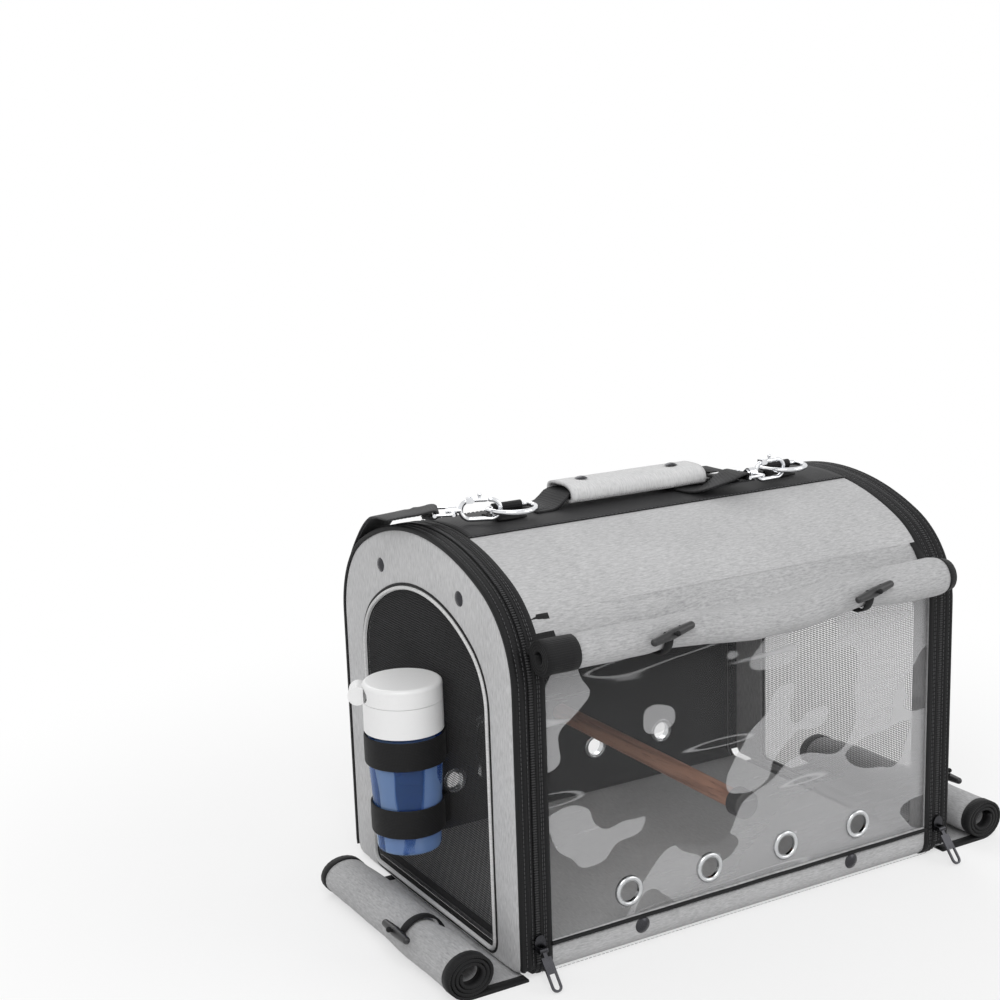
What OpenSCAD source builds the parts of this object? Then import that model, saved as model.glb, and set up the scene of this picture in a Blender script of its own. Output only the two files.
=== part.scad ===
// Soft-sided bird travel carrier with an arched roof: a fabric shell with a clear front window,
// a zip-round mesh door at each end, rolled-up covers, a perch, a feeding cup, a water bottle,
// a carrying handle and a shoulder strap.
// +X runs along the carrier, -Y is the window side, +Z is up and Z = 0 is the floor it stands on.

/* [Body] */
// Length between the faces of the two end doors
body_length = 400; // [340:10:480]
// Depth from the window side to the back wall
body_depth = 270; // [230:10:320]
// Height of the roof's crown above the floor
body_height = 300; // [260:10:360]
// Height of the arched part of the section
arch_rise = 90; // [82:1:110]
// Radius of the arch's shoulders
shoulder_r = 75; // [55:1:78]
// Radius of the edges along the floor
foot_r = 12; // [8:1:16]
// Thickness of the padded fabric wall
wall = 3; // [2:0.5:4]
// Thickness of the black lining
lining_t = 1; // [0.6:0.2:1.6]
// Thickness of the stiff base board
board_t = 3; // [2:0.5:4]
// Thickness of the floor mat
mat_t = 4; // [3:0.5:6]

/* [End doors] */
// Width of the black zip band at each end
band_w = 24; // [20:1:30]
// Half width of the mesh
mesh_half = 97; // [80:1:105]
// Distance of the mesh's top below the roof's crown
mesh_drop = 46; // [38:1:80]
// Height of the arched part of the mesh
mesh_rise = 66; // [56:1:80]
// Radius of the mesh's shoulders
mesh_shoulder_r = 50; // [35:1:52]
// Bottom of the mesh above the floor
mesh_floor = 8; // [8:1:30]
// Width of one thread of the mesh
thread_w = 1.4; // [0.8:0.1:2]
// Threads across the mesh
threads_across = 9; // [6:1:12]
// Threads up the mesh
threads_up = 11; // [6:1:14]
// Distance between the two snap studs of a door
door_stud_gap = 124; // [90:2:140]
// Distance of the door's snap studs below the roof's crown
door_stud_drop = 38; // [34:1:38]

/* [Front window] */
// Bottom of the window
window_floor = 25; // [20:1:60]
// Distance of the window's top below the roof's crown
window_drop = 78; // [74:1:120]
// Thickness of the clear film
film_t = 0.8; // [0.5:0.1:1.2]
// Distance between eyelets
eyelet_pitch = 72; // [60:1:80]
// Number of eyelets in a row
eyelets = 4; // [2:1:4]
// Height of the eyelets' centres
eyelet_z = 44; // [42:1:60]
// Radius of an eyelet's hole
eyelet_r = 8; // [6:0.5:9]
// Distance between the snap studs under the window
band_stud_gap = 198; // [120:2:240]

/* [Covers] */
// Outer radius of a door's rolled cover
end_roll_r = 17.5; // [15:0.5:19]
// Distance from a door's face to the axis of its rolled cover
end_roll_out = 45; // [43:1:55]
// Length of a door's rolled cover
end_roll_len = 210; // [160:5:220]
// Place of its middle along the depth
end_roll_y = -31; // [-35:1:0]
// Outer radius of the window's rolled cover
front_roll_r = 12.5; // [11:0.5:15]
// Distance of its axis below the roof's crown
front_roll_drop = 63; // [60:1:64]
// Length of the toggles
toggle_len = 38; // [30:1:44]

/* [Inside] */
// Diameter of the perch
perch_d = 15; // [12:1:18]
// Height of the perch's axis
perch_z = 84; // [76:1:130]
// Radius of the feeding cup
cup_r = 24; // [20:1:28]
// Depth of the feeding cup
cup_h = 43; // [35:1:50]
// Bottom of the feeding cup above the floor
cup_z = 51; // [40:1:80]
// Place of the cup along the carrier
cup_x = -75; // [-110:1:-50]

/* [Bottle] */
// Radius of the bottle's shoulder
bottle_r = 28; // [25:0.5:30]
// Radius of the bottle's foot
bottle_foot_r = 23.5; // [20:0.5:25]
// Bottom of the bottle above the floor
bottle_z = 74; // [65:1:85]
// Height of the bottle's body under its cap
bottle_h = 90; // [80:1:95]
// Height of the cap with its lid
cap_h = 36; // [30:1:40]
// Place of the bottle across the door
bottle_y = -30; // [-45:1:45]

/* [Top] */
// Width of the black strip along the roof
strip_w = 76; // [60:2:90]
// Length of the handle's grip
grip_len = 126; // [110:2:150]
// Width of the grip
grip_w = 36; // [33:1:42]
// Height of the grip
grip_h = 15; // [13:1:18]
// Distance of each D-ring from the middle
ring_x = 128; // [124:1:150]
// Thickness of the D-ring's wire
ring_wire = 4; // [3:0.5:5]
// Width of the shoulder strap's webbing
strap_w = 25; // [20:1:26]

/* [Hidden] */
$fn = 48;

GREY = [0.62, 0.62, 0.63];
PALE = [0.80, 0.80, 0.80];
BLACK = [0.07, 0.07, 0.08];
STEEL = [0.75, 0.76, 0.78];
WOOD = [0.55, 0.36, 0.26];

// Clearances between pieces that move on each other
RUN_GAP = 0.07;
SOFT_GAP = 0.4;

// Heights measured down from the roof's crown
mesh_top = body_height - mesh_drop;
door_stud_z = body_height - door_stud_drop;
window_top = body_height - window_drop;
front_roll_z = body_height - front_roll_drop;

// An arched section is [half width, top, rise of the arch, shoulder radius, floor, foot radius]
OUTER = [body_depth/2, body_height, arch_rise, shoulder_r, 0, foot_r];
MESH = [mesh_half, mesh_top, mesh_rise, mesh_shoulder_r, mesh_floor, 8];

end_x = body_length/2;
back_y = body_depth/2;
edge_t = 2.2;
panel_t = 3;
door_edge_w = 10.3;
chain_w = 3.4;
tape_t = 1.2;
tape_lap = 10;
chain_x = end_x - door_edge_w - 0.3;
shell_x = chain_x - chain_w;
window_x = end_x - band_w + 1;
inner_y = back_y - wall - lining_t;
film_back = wall + film_t;

door_floor = 7;
hinge_z = 4;
hinge_r = 2;
hinge_x = end_x - panel_t/2;
sill_h = 3;
sill_gap = 2.2;

stud_r = 6.2;
stud_h = 2.4;

function crown_r(o) = (o[0]^2 + o[2]^2 - 2*o[0]*o[3])/(2*(o[2] - o[3]));
function crown_angle(o) = atan((o[0] - o[3])/(crown_r(o) - o[2]));
function spring(o) = o[1] - o[2];

// Depth of the section's flank at a height on its shoulder
function flank_y(o, z, out = 0) = z <= spring(o) ? o[0] + out
    : o[0] - o[3] + sqrt((o[3] + out)^2 - (z - spring(o))^2);

// Filled arched section, drawn in by inset all round, from true arcs
module section(o, inset = 0) {
    w = o[0] - inset;
    floor_z = o[4] + inset;
    f = max(o[5] - inset, 0.5);
    r = crown_r(o);
    reach = 1.5*r;
    phi = crown_angle(o);
    translate([-w, floor_z + f]) square([2*w, spring(o) - floor_z - f]);
    translate([f - w, floor_z]) square([2*(w - f), spring(o) - floor_z]);
    for (s = [-1, 1]) {
        translate([s*(w - f), floor_z + f]) circle(f);
        translate([s*(o[0] - o[3]), spring(o)]) circle(o[3] - inset);
    }
    intersection() {
        translate([0, o[1] - r]) circle(r - inset);
        translate([0, o[1] - r])
            polygon([[0, 0], [reach*sin(phi), reach*cos(phi)], [-reach*sin(phi), reach*cos(phi)]]);
    }
}

module section_ring(o, outer, inner) {
    difference() {
        section(o, outer);
        section(o, inner);
    }
}

// Keeps what lies above a height
module above(z) {
    intersection() {
        children();
        translate([-back_y - 20, z]) square([body_depth + 40, body_height + 40]);
    }
}

// Puts a flat section of the depth and the height between two places along the carrier
module along_x(x0, x1) {
    translate([x0, 0, 0]) rotate([90, 0, 90]) linear_extrude(x1 - x0) children();
}

// Round bead that follows a section's walls and arch, centred on the plane X = 0
module arch_bead(o, inset, r) {
    w = o[0] - inset;
    z0 = o[4] + 2;
    cr = crown_r(o);
    phi = crown_angle(o);
    rotate([90, 0, 90]) {
        for (s = [-1, 1])
            translate([s*w, z0, 0]) rotate([-90, 0, 0]) cylinder(r = r, h = spring(o) - z0);
        translate([o[0] - o[3], spring(o), 0])
            rotate_extrude(angle = 90 - phi) translate([o[3] - inset, 0]) circle(r);
        translate([o[3] - o[0], spring(o), 0]) rotate([0, 0, 90 + phi])
            rotate_extrude(angle = 90 - phi) translate([o[3] - inset, 0]) circle(r);
        translate([0, o[1] - cr, 0]) rotate([0, 0, 90 - phi])
            rotate_extrude(angle = 2*phi) translate([cr - inset, 0]) circle(r);
    }
}

// Turns a piece made for the left end into the one of the other end
module end_side(side) {
    if (side < 0) children();
    else mirror([1, 0, 0]) children();
}

// Domed snap stud standing on the plane Z = 0
module stud(r = stud_r, h = stud_h) {
    dome_r = (r^2 + h^2)/(2*h);
    rotate_extrude() {
        intersection() {
            translate([0, h - dome_r]) circle(dome_r);
            square([r, h]);
        }
    }
}

module half_bead(bead) {
    intersection() {
        translate([eyelet_r + bead, 0]) circle(bead);
        translate([eyelet_r, 0]) square([2*bead, bead]);
    }
}

// Two-sided eyelet through a wall that lies between Z = 0 and Z = grip
module eyelet(grip) {
    tube = 1;
    bead = 1.8;
    rotate_extrude() {
        translate([eyelet_r, -bead/2]) square([tube, grip + bead]);
        translate([0, grip]) half_bead(bead);
        mirror([0, 1]) half_bead(bead);
    }
}

eyelet_bore_r = eyelet_r + 1.1;
function eyelet_x(i) = (i - (eyelets - 1)/2)*eyelet_pitch;
screw_r = 2;
screw_bore_r = screw_r + 0.2;

module back_bores() {
    for (i = [0 : eyelets - 1])
        translate([eyelet_x(i), inner_y - 5, eyelet_z]) rotate([-90, 0, 0])
            cylinder(r = eyelet_bore_r, h = wall + lining_t + 10);
    translate([0, inner_y - 5, perch_z]) rotate([-90, 0, 0])
        cylinder(r = screw_bore_r, h = wall + lining_t + 10);
}

module fabric_shell() {
    color(GREY) difference() {
        along_x(-shell_x, shell_x) section_ring(OUTER, 0, wall);
        translate([-window_x, -back_y - 5, window_floor])
            cube([2*window_x, back_y/2, window_top - window_floor]);
        back_bores();
    }
}

module black_lining() {
    hem = 8;
    color(BLACK) difference() {
        along_x(1 - shell_x, shell_x - 1) section_ring(OUTER, wall, wall + lining_t);
        translate([-shell_x - 1, -back_y - 5, window_floor - hem])
            cube([2*shell_x + 2, back_y/2, window_top - window_floor + 2*hem + 4]);
        back_bores();
    }
}

module rounded_plate(x, y, r, h) {
    linear_extrude(h) {
        square([x, y - 2*r], center = true);
        square([x - 2*r, y], center = true);
        for (sx = [-1, 1], sy = [-1, 1]) translate([sx*(x/2 - r), sy*(y/2 - r)]) circle(r);
    }
}

board_z = wall + lining_t;
mat_z = board_z + board_t;
mat_top = mat_z + mat_t;
board_y = 2*(inner_y - foot_r + wall + lining_t) - 8;

module base_board() {
    color(BLACK) translate([0, 0, board_z]) rounded_plate(2*shell_x - 6, board_y, 6, board_t);
}

module floor_mat() {
    color(PALE) translate([0, 0, mat_z]) rounded_plate(2*shell_x - 8, board_y - 2, 8, mat_t);
}

// Tape and chain on the body's side of an end door's zip, with the sill that the door folds on
module zip_tape(side) {
    color(BLACK) end_side(side) {
        along_x(-shell_x, tape_lap - shell_x)
            above(0) section_ring(OUTER, -tape_t, 0);
        along_x(-chain_x, -shell_x) above(0) section_ring(OUTER, -tape_t - 0.4, wall);
        translate([sill_gap - hinge_x, -back_y + 2*foot_r, 0])
            cube([hinge_x - sill_gap - chain_x, body_depth - 4*foot_r, sill_h]);
    }
}

module top_strip() {
    color(BLACK) along_x(tape_lap - shell_x, shell_x - tape_lap) intersection() {
        section_ring(OUTER, -tape_t, 0);
        translate([-strip_w/2, body_height/2]) square([strip_w, body_height]);
    }
}

module window_film() {
    lap = 6;
    color([0.8, 0.86, 0.9, 0.35]) difference() {
        along_x(-window_x - lap, window_x + lap) intersection() {
            section_ring(OUTER, wall, film_back);
            translate([-back_y, window_floor - lap]) square([back_y/2, window_top - window_floor + 2*lap + 4]);
        }
        for (i = [0 : eyelets - 1])
            translate([eyelet_x(i), -back_y, eyelet_z]) rotate([-90, 0, 0])
                cylinder(r = eyelet_bore_r, h = 10);
    }
}

module window_eyelets() {
    color(STEEL) for (i = [0 : eyelets - 1])
        translate([eyelet_x(i), wall - back_y, eyelet_z]) rotate([-90, 0, 0]) eyelet(film_t);
}

module back_eyelets() {
    color(STEEL) for (i = [0 : eyelets - 1])
        translate([eyelet_x(i), inner_y, eyelet_z]) rotate([-90, 0, 0]) eyelet(wall + lining_t);
}

module window_piping() {
    r = 1.6;
    color(BLACK) translate([-flap_x, -back_y - r, window_floor - r]) rotate([0, 90, 0])
        cylinder(r = r, h = 2*flap_x);
}

module band_studs() {
    color(BLACK) for (s = [-1, 1])
        translate([s*band_stud_gap/2, -back_y, foot_r + (window_floor - foot_r)/3]) rotate([90, 0, 0]) stud();
}

cap_gap = 0.3;
perch_cap_r = perch_d/2 + 3.5;
perch_cap_l = 12;
perch_cap_y = film_back - back_y + cap_gap;
perch_end_y = perch_cap_y + 3;
washer_t = 1;
nut_h = 6;

module perch_rod() {
    color(WOOD) difference() {
        translate([0, perch_end_y, perch_z]) rotate([-90, 0, 0])
            cylinder(d = perch_d, h = inner_y - perch_end_y);
        translate([0, inner_y - 22, perch_z]) rotate([-90, 0, 0]) cylinder(r = screw_r + 0.05, h = 30);
    }
}

module perch_cap() {
    edge = 1.5;
    color(BLACK) translate([0, perch_cap_y, perch_z]) rotate([-90, 0, 0]) difference() {
        rotate_extrude() {
            square([perch_cap_r - edge, perch_cap_l]);
            translate([0, edge]) square([perch_cap_r, perch_cap_l - edge]);
            translate([perch_cap_r - edge, edge]) circle(edge);
        }
        translate([0, 0, 3]) cylinder(d = perch_d + 0.1, h = perch_cap_l);
    }
}

module perch_screw() {
    color(STEEL) translate([0, 0, perch_z]) rotate([-90, 0, 0]) {
        translate([0, 0, inner_y - 20]) cylinder(r = screw_r, h = 20 + wall + lining_t + washer_t + nut_h + 3);
        translate([0, 0, back_y]) difference() {
            cylinder(r = 7, h = washer_t);
            translate([0, 0, -1]) cylinder(r = screw_bore_r, h = washer_t + 2);
        }
    }
}

module perch_wing_nut() {
    color(STEEL) translate([0, back_y + washer_t + 0.05, perch_z]) rotate([-90, 0, 0]) difference() {
        union() {
            cylinder(r = 5, h = nut_h - 1);
            translate([0, 0, nut_h - 1]) cylinder(r1 = 5, r2 = 4, h = 1);
            for (s = [-1, 1])
                rotate([90, 0, 0]) linear_extrude(2, center = true)
                    translate([s*8, 4]) {
                        circle(4);
                        translate([-4, -3.6]) square([8, 6]);
                    }
        }
        translate([0, 0, -1]) cylinder(r = screw_r + RUN_GAP, h = nut_h + 8);
    }
}

hanger_w = 24;
tongue_top = cup_z + cup_h + 4;
tongue_y = inner_y - 4.2;
clip_w = 16;
cup_y = inner_y - 7 - cup_r;

// Plate on the back wall with a tongue bent off it, which the cup's clip drops over
module cup_hanger() {
    color(STEEL) translate([cup_x, 0, 0]) along_x(-hanger_w/2, hanger_w/2) {
        translate([inner_y - 1.5, tongue_top - 42]) square([1.5, 24]);
        translate([tongue_y, tongue_top - 20]) square([inner_y - tongue_y, 2]);
        translate([tongue_y, tongue_top - 20]) square([1.2, 20]);
    }
}

module feeding_cup() {
    t = 0.8;
    bend = 5;
    bead = 1.2;
    color(STEEL) {
        translate([cup_x, cup_y, cup_z]) rotate_extrude() difference() {
            union() {
                translate([0, bend]) square([cup_r, cup_h - bend]);
                square([cup_r - bend, bend]);
                translate([cup_r - bend, bend]) circle(bend);
                translate([cup_r + bead - t, cup_h - bead]) circle(bead);
            }
            translate([-1, bend]) square([cup_r - t + 1, cup_h]);
            translate([-1, t]) square([cup_r - bend + 1, bend]);
            translate([cup_r - bend, bend]) circle(bend - t);
        }
        // The clip starts in the cup's wall, passes over the tongue and down behind it
        translate([cup_x, 0, 0]) along_x(-clip_w/2, clip_w/2) {
            translate([cup_y + cup_r - 0.6, cup_z + cup_h - 14])
                square([tongue_y - SOFT_GAP - cup_y - cup_r + 0.6, 8]);
            translate([tongue_y - SOFT_GAP - 1.2, cup_z + cup_h - 14]) square([1.2, 20]);
            translate([tongue_y - SOFT_GAP - 1.2, tongue_top + SOFT_GAP]) square([4.2, 1.6]);
            translate([tongue_y + 1.2 + SOFT_GAP, tongue_top - 8]) square([0.8, 8 + SOFT_GAP + 1.6]);
        }
    }
}

// Cover rolls: a sheet of a given height wound round a hollow core, as a flat spiral
function roll_pitch(r, core, sheet) = PI*(r^2 - core^2)/sheet;
function spiral(r, core, sheet, off, turns, way) = [for (a = [0 : 20 : 360*turns])
    (r - off - roll_pitch(r, core, sheet)*a/360)*[way*sin(a), -cos(a)]];

// The sheet starts under the roll and winds up the side that way points to
module roll_section(r, core, sheet, t, way) {
    turns = (r - core)/roll_pitch(r, core, sheet);
    inner = spiral(r, core, sheet, t, turns, way);
    polygon(concat(spiral(r, core, sheet, 0, turns, way),
        [for (i = [len(inner) - 1 : -1 : 0]) inner[i]]));
}

end_cover_h = mesh_top - mesh_floor + 20;
end_cover_t = 1.5;
end_core = 8;
end_trim = 8;
roll_x = -end_x - end_roll_out;

module across_y(y0, y1) {
    translate([0, y1, 0]) rotate([90, 0, 0]) linear_extrude(y1 - y0) children();
}

// Length of a door's rolled cover between two places across the door, with its flap on the floor
module end_roll_piece(y0, y1) {
    across_y(y0, y1) translate([roll_x, end_roll_r])
        roll_section(end_roll_r, end_core, end_cover_h, end_cover_t, -1);
    across_y(y0, y1) translate([roll_x - 0.6, 0])
        square([sill_gap - hinge_x - roll_x + 0.6, end_cover_t]);
}

module end_cover_roll(side) {
    color(GREY) end_side(side)
        end_roll_piece(end_roll_y - end_roll_len/2 + end_trim, end_roll_y + end_roll_len/2 - end_trim);
}

front_cover_h = window_top - window_floor + 12;
front_cover_t = 1.1;
front_core = 5;
front_roll_y = -flank_y(OUTER, front_roll_z) - front_roll_r - 5.5;
front_roll_x0 = -end_x + 12;
front_roll_x1 = end_x - band_w + 2;
front_trim_left = 26;
front_trim_right = 8;

module front_roll_section() {
    translate([front_roll_y, front_roll_z]) rotate(180)
        roll_section(front_roll_r, front_core, front_cover_h, front_cover_t, 1);
}

// The cover's last stretch, from the top of the roll up to the seam on the roof
module front_flap_section() {
    seam_z = front_roll_z + front_roll_r + 7;
    lap = 0.3;
    inset = 0.1;
    difference() {
        polygon([[front_roll_y, front_roll_z + front_roll_r - front_cover_t],
            [front_roll_y - lap, front_roll_z + front_roll_r - front_cover_t + inset],
            [front_roll_y - lap, front_roll_z + front_roll_r - inset],
            [front_roll_y, front_roll_z + front_roll_r],
            [2 - flank_y(OUTER, seam_z), seam_z + front_cover_t],
            [2 - flank_y(OUTER, seam_z), seam_z]]);
        section(OUTER);
    }
}

flap_x = shell_x - tape_lap - 0.3;

module front_cover_roll() {
    color(GREY) {
        along_x(front_roll_x0 + front_trim_left, front_roll_x1 - front_trim_right) front_roll_section();
        along_x(front_roll_x0 + front_trim_left, front_roll_x1 - front_trim_right) front_flap_section();
    }
}

module roll_end_trims() {
    color(BLACK) {
        for (side = [-1, 1], end = [-1, 1])
            end_side(side) translate([0, end_roll_y + end*(end_roll_len - end_trim)/2, 0])
                end_roll_piece(-end_trim/2, end_trim/2);
        along_x(front_roll_x0, front_roll_x0 + front_trim_left) front_roll_section();
        along_x(-flap_x, front_roll_x0 + front_trim_left) front_flap_section();
        along_x(front_roll_x1 - front_trim_right, front_roll_x1) front_roll_section();
        along_x(front_roll_x1 - front_trim_right, flap_x) front_flap_section();
    }
}

// Elastic loops round the rolls, each with a cord that its toggle sits on and the cord's knot
loop_t = 1.4;
loop_w = 7;
cord_r = 1.25;
toggle_r = 3.8;
knot_r = 2.2;
front_toggle_x = 91;
front_toggle_turn = 12;
front_loop_tilt = 15;
end_loop_y = -68;
end_loop_tilt = 30;
end_toggle_turn = 0;

// Loop in a frame whose Z is the roll's axis and whose +X points at the toggle
module loop(r, start, sweep) {
    rotate([0, 0, start]) rotate_extrude(angle = sweep) translate([r, -loop_w/2]) square([loop_t, loop_w]);
    translate([r + loop_t - 0.3, 0, 0]) rotate([0, 90, 0]) {
        cylinder(r = cord_r, h = 2*toggle_r + 2*SOFT_GAP + 1);
        translate([0, 0, 2*toggle_r + 2*SOFT_GAP + 0.3 + knot_r]) sphere(knot_r);
    }
}

// Toggle bar in the frame of its loop, turned about the cord that it sits on
module toggle(r, turn) {
    half = toggle_len/2 - toggle_r + 1;
    translate([r + loop_t + SOFT_GAP + toggle_r, 0, 0]) rotate([turn, 0, 0]) difference() {
        for (s = [0, 180])
            rotate([s, 0, 0]) {
                cylinder(r1 = toggle_r, r2 = toggle_r - 1, h = half);
                translate([0, 0, half]) sphere(toggle_r - 1);
            }
        rotate([0, 90, 0]) cylinder(r = cord_r + RUN_GAP, h = 12, center = true);
        for (s = [-1, 1])
            translate([0, 0, s*6.5]) rotate([90, 0, 0]) cylinder(r = 1.3, h = 12, center = true);
    }
}

module on_front_roll(s) {
    translate([s*front_toggle_x, front_roll_y, front_roll_z])
        rotate([-90 - front_loop_tilt, 0, 0]) rotate([0, 90, 0]) children();
}

module on_end_roll() {
    translate([roll_x, end_loop_y, end_roll_r]) rotate([90, 0, 0]) rotate([0, 0, 180 - end_loop_tilt])
        children();
}

module roll_loops() {
    foot = 6;
    end_reach = asin((end_roll_r - end_cover_t)/(end_roll_r + loop_t));
    root_x = roll_x + (end_roll_r + loop_t)*cos(end_reach);
    back_z = front_roll_z - 3;
    color(BLACK) {
        for (s = [-1, 1]) {
            on_front_roll(s) loop(front_roll_r, -8, 188 + front_loop_tilt);
            // Where the front loops are sewn to the wall
            along_x(s*front_toggle_x - loop_w/2, s*front_toggle_x + loop_w/2) difference() {
                translate([front_roll_y + front_roll_r + loop_t - 0.4, back_z - 3])
                    square([12, 3]);
                section(OUTER);
            }
            // Where the end loops are sewn to the flap on the floor
            end_side(s) {
                on_end_roll() loop(end_roll_r, -180 + end_loop_tilt - end_reach,
                    188 - end_loop_tilt + end_reach);
                translate([root_x - 0.7, end_loop_y - loop_w/2, end_cover_t]) cube([foot, loop_w, loop_t]);
            }
        }
    }
}

module front_toggle(s) {
    color(BLACK) on_front_roll(s) toggle(front_roll_r, front_toggle_turn);
}

module end_toggle(side) {
    color(BLACK) end_side(side) on_end_roll() toggle(end_roll_r, end_toggle_turn);
}

// D-rings on folded tabs, lying level toward the window side
ring_y = -8;
ring_half = 18;
ring_bend = 5;
ring_leg = 3;
ring_rise = 8.6;
ring_z = body_height + tape_t + ring_rise;
tab_w = 2*(ring_half - ring_bend) - 1;
tab_t = 1.5;
tab_bore = ring_wire/2 + RUN_GAP;
ring_bow_y = ring_y - ring_bend - ring_leg;

module strap_tabs() {
    color(BLACK) for (s = [-1, 1])
        along_x(s*ring_x - tab_w/2, s*ring_x + tab_w/2) {
            difference() {
                union() {
                    translate([ring_y, ring_z]) circle(tab_bore + tab_t);
                    translate([ring_y - tab_t, body_height/2]) square([2*tab_t, ring_z - body_height/2]);
                }
                translate([ring_y, ring_z]) circle(tab_bore);
                section(OUTER, -tape_t);
            }
            intersection() {
                section_ring(OUTER, -tape_t - tab_t, -tape_t);
                translate([ring_y - 10, body_height/2]) square([26, body_height]);
            }
        }
}

module d_ring(side) {
    r = ring_wire/2;
    bar = ring_half - ring_bend;
    color(STEEL) translate([side*ring_x, 0, ring_z]) {
        translate([-bar, ring_y, 0]) rotate([0, 90, 0]) cylinder(r = r, h = 2*bar);
        translate([bar, ring_y - ring_bend, 0]) rotate_extrude(angle = 90) translate([ring_bend, 0]) circle(r);
        translate([-bar, ring_y - ring_bend, 0]) rotate([0, 0, 90])
            rotate_extrude(angle = 90) translate([ring_bend, 0]) circle(r);
        for (s = [-1, 1])
            translate([s*ring_half, ring_bow_y, 0]) rotate([-90, 0, 0]) cylinder(r = r, h = ring_leg);
        translate([0, ring_bow_y, 0]) rotate([0, 0, 180])
            rotate_extrude(angle = 180) translate([ring_half, 0]) circle(r);
    }
}

// Handle: webbing sewn to the roof at both ends, with a padded grip wrapped round its middle
web_w = 34;
web_t = 2;
handle_y = 6;
handle_x = -10;
handle_half = 103;
web_flat = 15;
grip_gap = 3.4;
grip_z = body_height + tape_t + grip_gap;
core_w = grip_w - 8;
core_t = 5;
core_z = grip_z + grip_h/2 - core_t/2;

module handle_webbing() {
    rise_x = handle_half - web_flat;
    color(BLACK) {
        for (s = [-1, 1]) {
            x0 = s < 0 ? -handle_half : rise_x;
            along_x(x0, x0 + web_flat) intersection() {
                section_ring(OUTER, -tape_t - web_t, -tape_t);
                translate([handle_y - web_w/2, body_height/2]) square([web_w, body_height]);
            }
        }
        translate([0, handle_y + web_w/2, 0]) rotate([90, 0, 0]) linear_extrude(web_w) {
            foot = body_height + tape_t;
            for (s = [-1, 1])
                polygon([[s*rise_x, foot], [s*rise_x, foot + web_t],
                    [handle_x + s*(grip_len/2 + 0.4), core_z + core_t],
                    [handle_x + s*(grip_len/2 + 0.4), core_z]]);
        }
        translate([handle_x - grip_len/2 - 0.4, handle_y - core_w/2, core_z])
            cube([grip_len + 0.8, core_w, core_t]);
    }
}

module rounded_rect(x, y, r) {
    square([x, y - 2*r], center = true);
    square([x - 2*r, y], center = true);
    for (sx = [-1, 1], sy = [-1, 1]) translate([sx*(x/2 - r), sy*(y/2 - r)]) circle(r);
}

module handle_grip() {
    color(PALE) along_x(handle_x - grip_len/2, handle_x + grip_len/2)
        translate([handle_y, grip_z + grip_h/2]) difference() {
            rounded_rect(grip_w, grip_h, grip_h/2 - 1);
            square([core_w, core_t], center = true);
        }
}

module handle_snaps() {
    snap_gap = 85;
    color(STEEL) for (s = [-1, 1])
        translate([handle_x + s*snap_gap/2, handle_y, grip_z + grip_h]) stud(5, 1.6);
}

// Snap hooks in a frame whose +X runs from the D-ring to the strap and whose Z is up
hook_r = 7.2;
hook_wire = 1.8;
hook_arm = 15;
hook_z = ring_z + 1.5;
stem_r = 2;
barrel_x = hook_arm + hook_r + 3;
barrel_l = 5.8;
head_x = barrel_x + barrel_l + 0.4;
strap_bar_x = 42;
strap_bar_r = 1.5;
strap_bar_half = strap_w/2 + 2.8;
gate_x = hook_arm - 1;
gate_r = 1.5;
left_hook_at = [-ring_x - ring_half, ring_bow_y, hook_z];
right_hook_at = [ring_x - ring_half*cos(35), ring_bow_y - ring_half*sin(35), hook_z];
hook_turns = [155, 184];

module hook_side(side) {
    translate(side < 0 ? left_hook_at : right_hook_at)
        rotate([0, 0, side < 0 ? hook_turns[0] : hook_turns[1]]) children();
}

module arc_wire(r, wire, start, sweep) {
    rotate([90, 0, 0]) rotate([0, 0, start])
        rotate_extrude(angle = sweep) translate([r, 0]) circle(wire);
}

module snap_hook(side) {
    ear = 1.1;
    ear_w = 2*gate_r + 0.3;
    color(STEEL) hook_side(side) difference() {
        union() {
            arc_wire(hook_r, hook_wire, 90, 180);
            translate([0, 0, hook_r]) sphere(hook_wire);
            translate([0, 0, -hook_r]) rotate([0, 90, 0]) cylinder(r = hook_wire, h = hook_arm);
            translate([hook_arm, 0, 0]) arc_wire(hook_r, hook_wire, -90, 180);
            translate([hook_arm + hook_r, 0, 0]) rotate([0, 90, 0])
                cylinder(r = stem_r, h = head_x - hook_arm - hook_r + 1);
            translate([head_x, 0, 0]) rotate([0, 90, 0]) cylinder(r = stem_r + 1.2, h = 2);
            for (s = [-1, 1])
                translate([gate_x, s*(ear_w/2 + ear/2), hook_r]) rotate([90, 0, 0]) {
                    cylinder(r = 2, h = ear, center = true);
                    translate([2, 0, 0]) cube([4, 4, ear], center = true);
                }
            translate([gate_x + 3, 0, hook_r]) cube([2, ear_w + 2*ear, 4], center = true);
            translate([gate_x, 0, hook_r]) rotate([90, 0, 0]) cylinder(r = 0.8, h = ear_w + ear, center = true);
        }
        translate([gate_x, 0, hook_r]) rotate([90, 0, 0]) difference() {
            cylinder(r = gate_r + 0.35, h = ear_w, center = true);
            cylinder(r = 0.8, h = ear_w + 1, center = true);
        }
    }
}

module hook_gate(side) {
    nose = 0.4;
    color(STEEL) hook_side(side) translate([gate_x, 0, hook_r]) {
        difference() {
            union() {
                rotate([90, 0, 0]) cylinder(r = gate_r, h = 2*gate_r, center = true);
                rotate([0, -90, 0]) cylinder(r = gate_r, h = gate_x - hook_wire - nose);
            }
            rotate([90, 0, 0]) cylinder(r = 0.8 + RUN_GAP, h = 10, center = true);
        }
        translate([-6, 0, 0]) cylinder(r = 1.1, h = 4);
        translate([-6, 0, 4]) sphere(1.5);
    }
}

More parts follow.
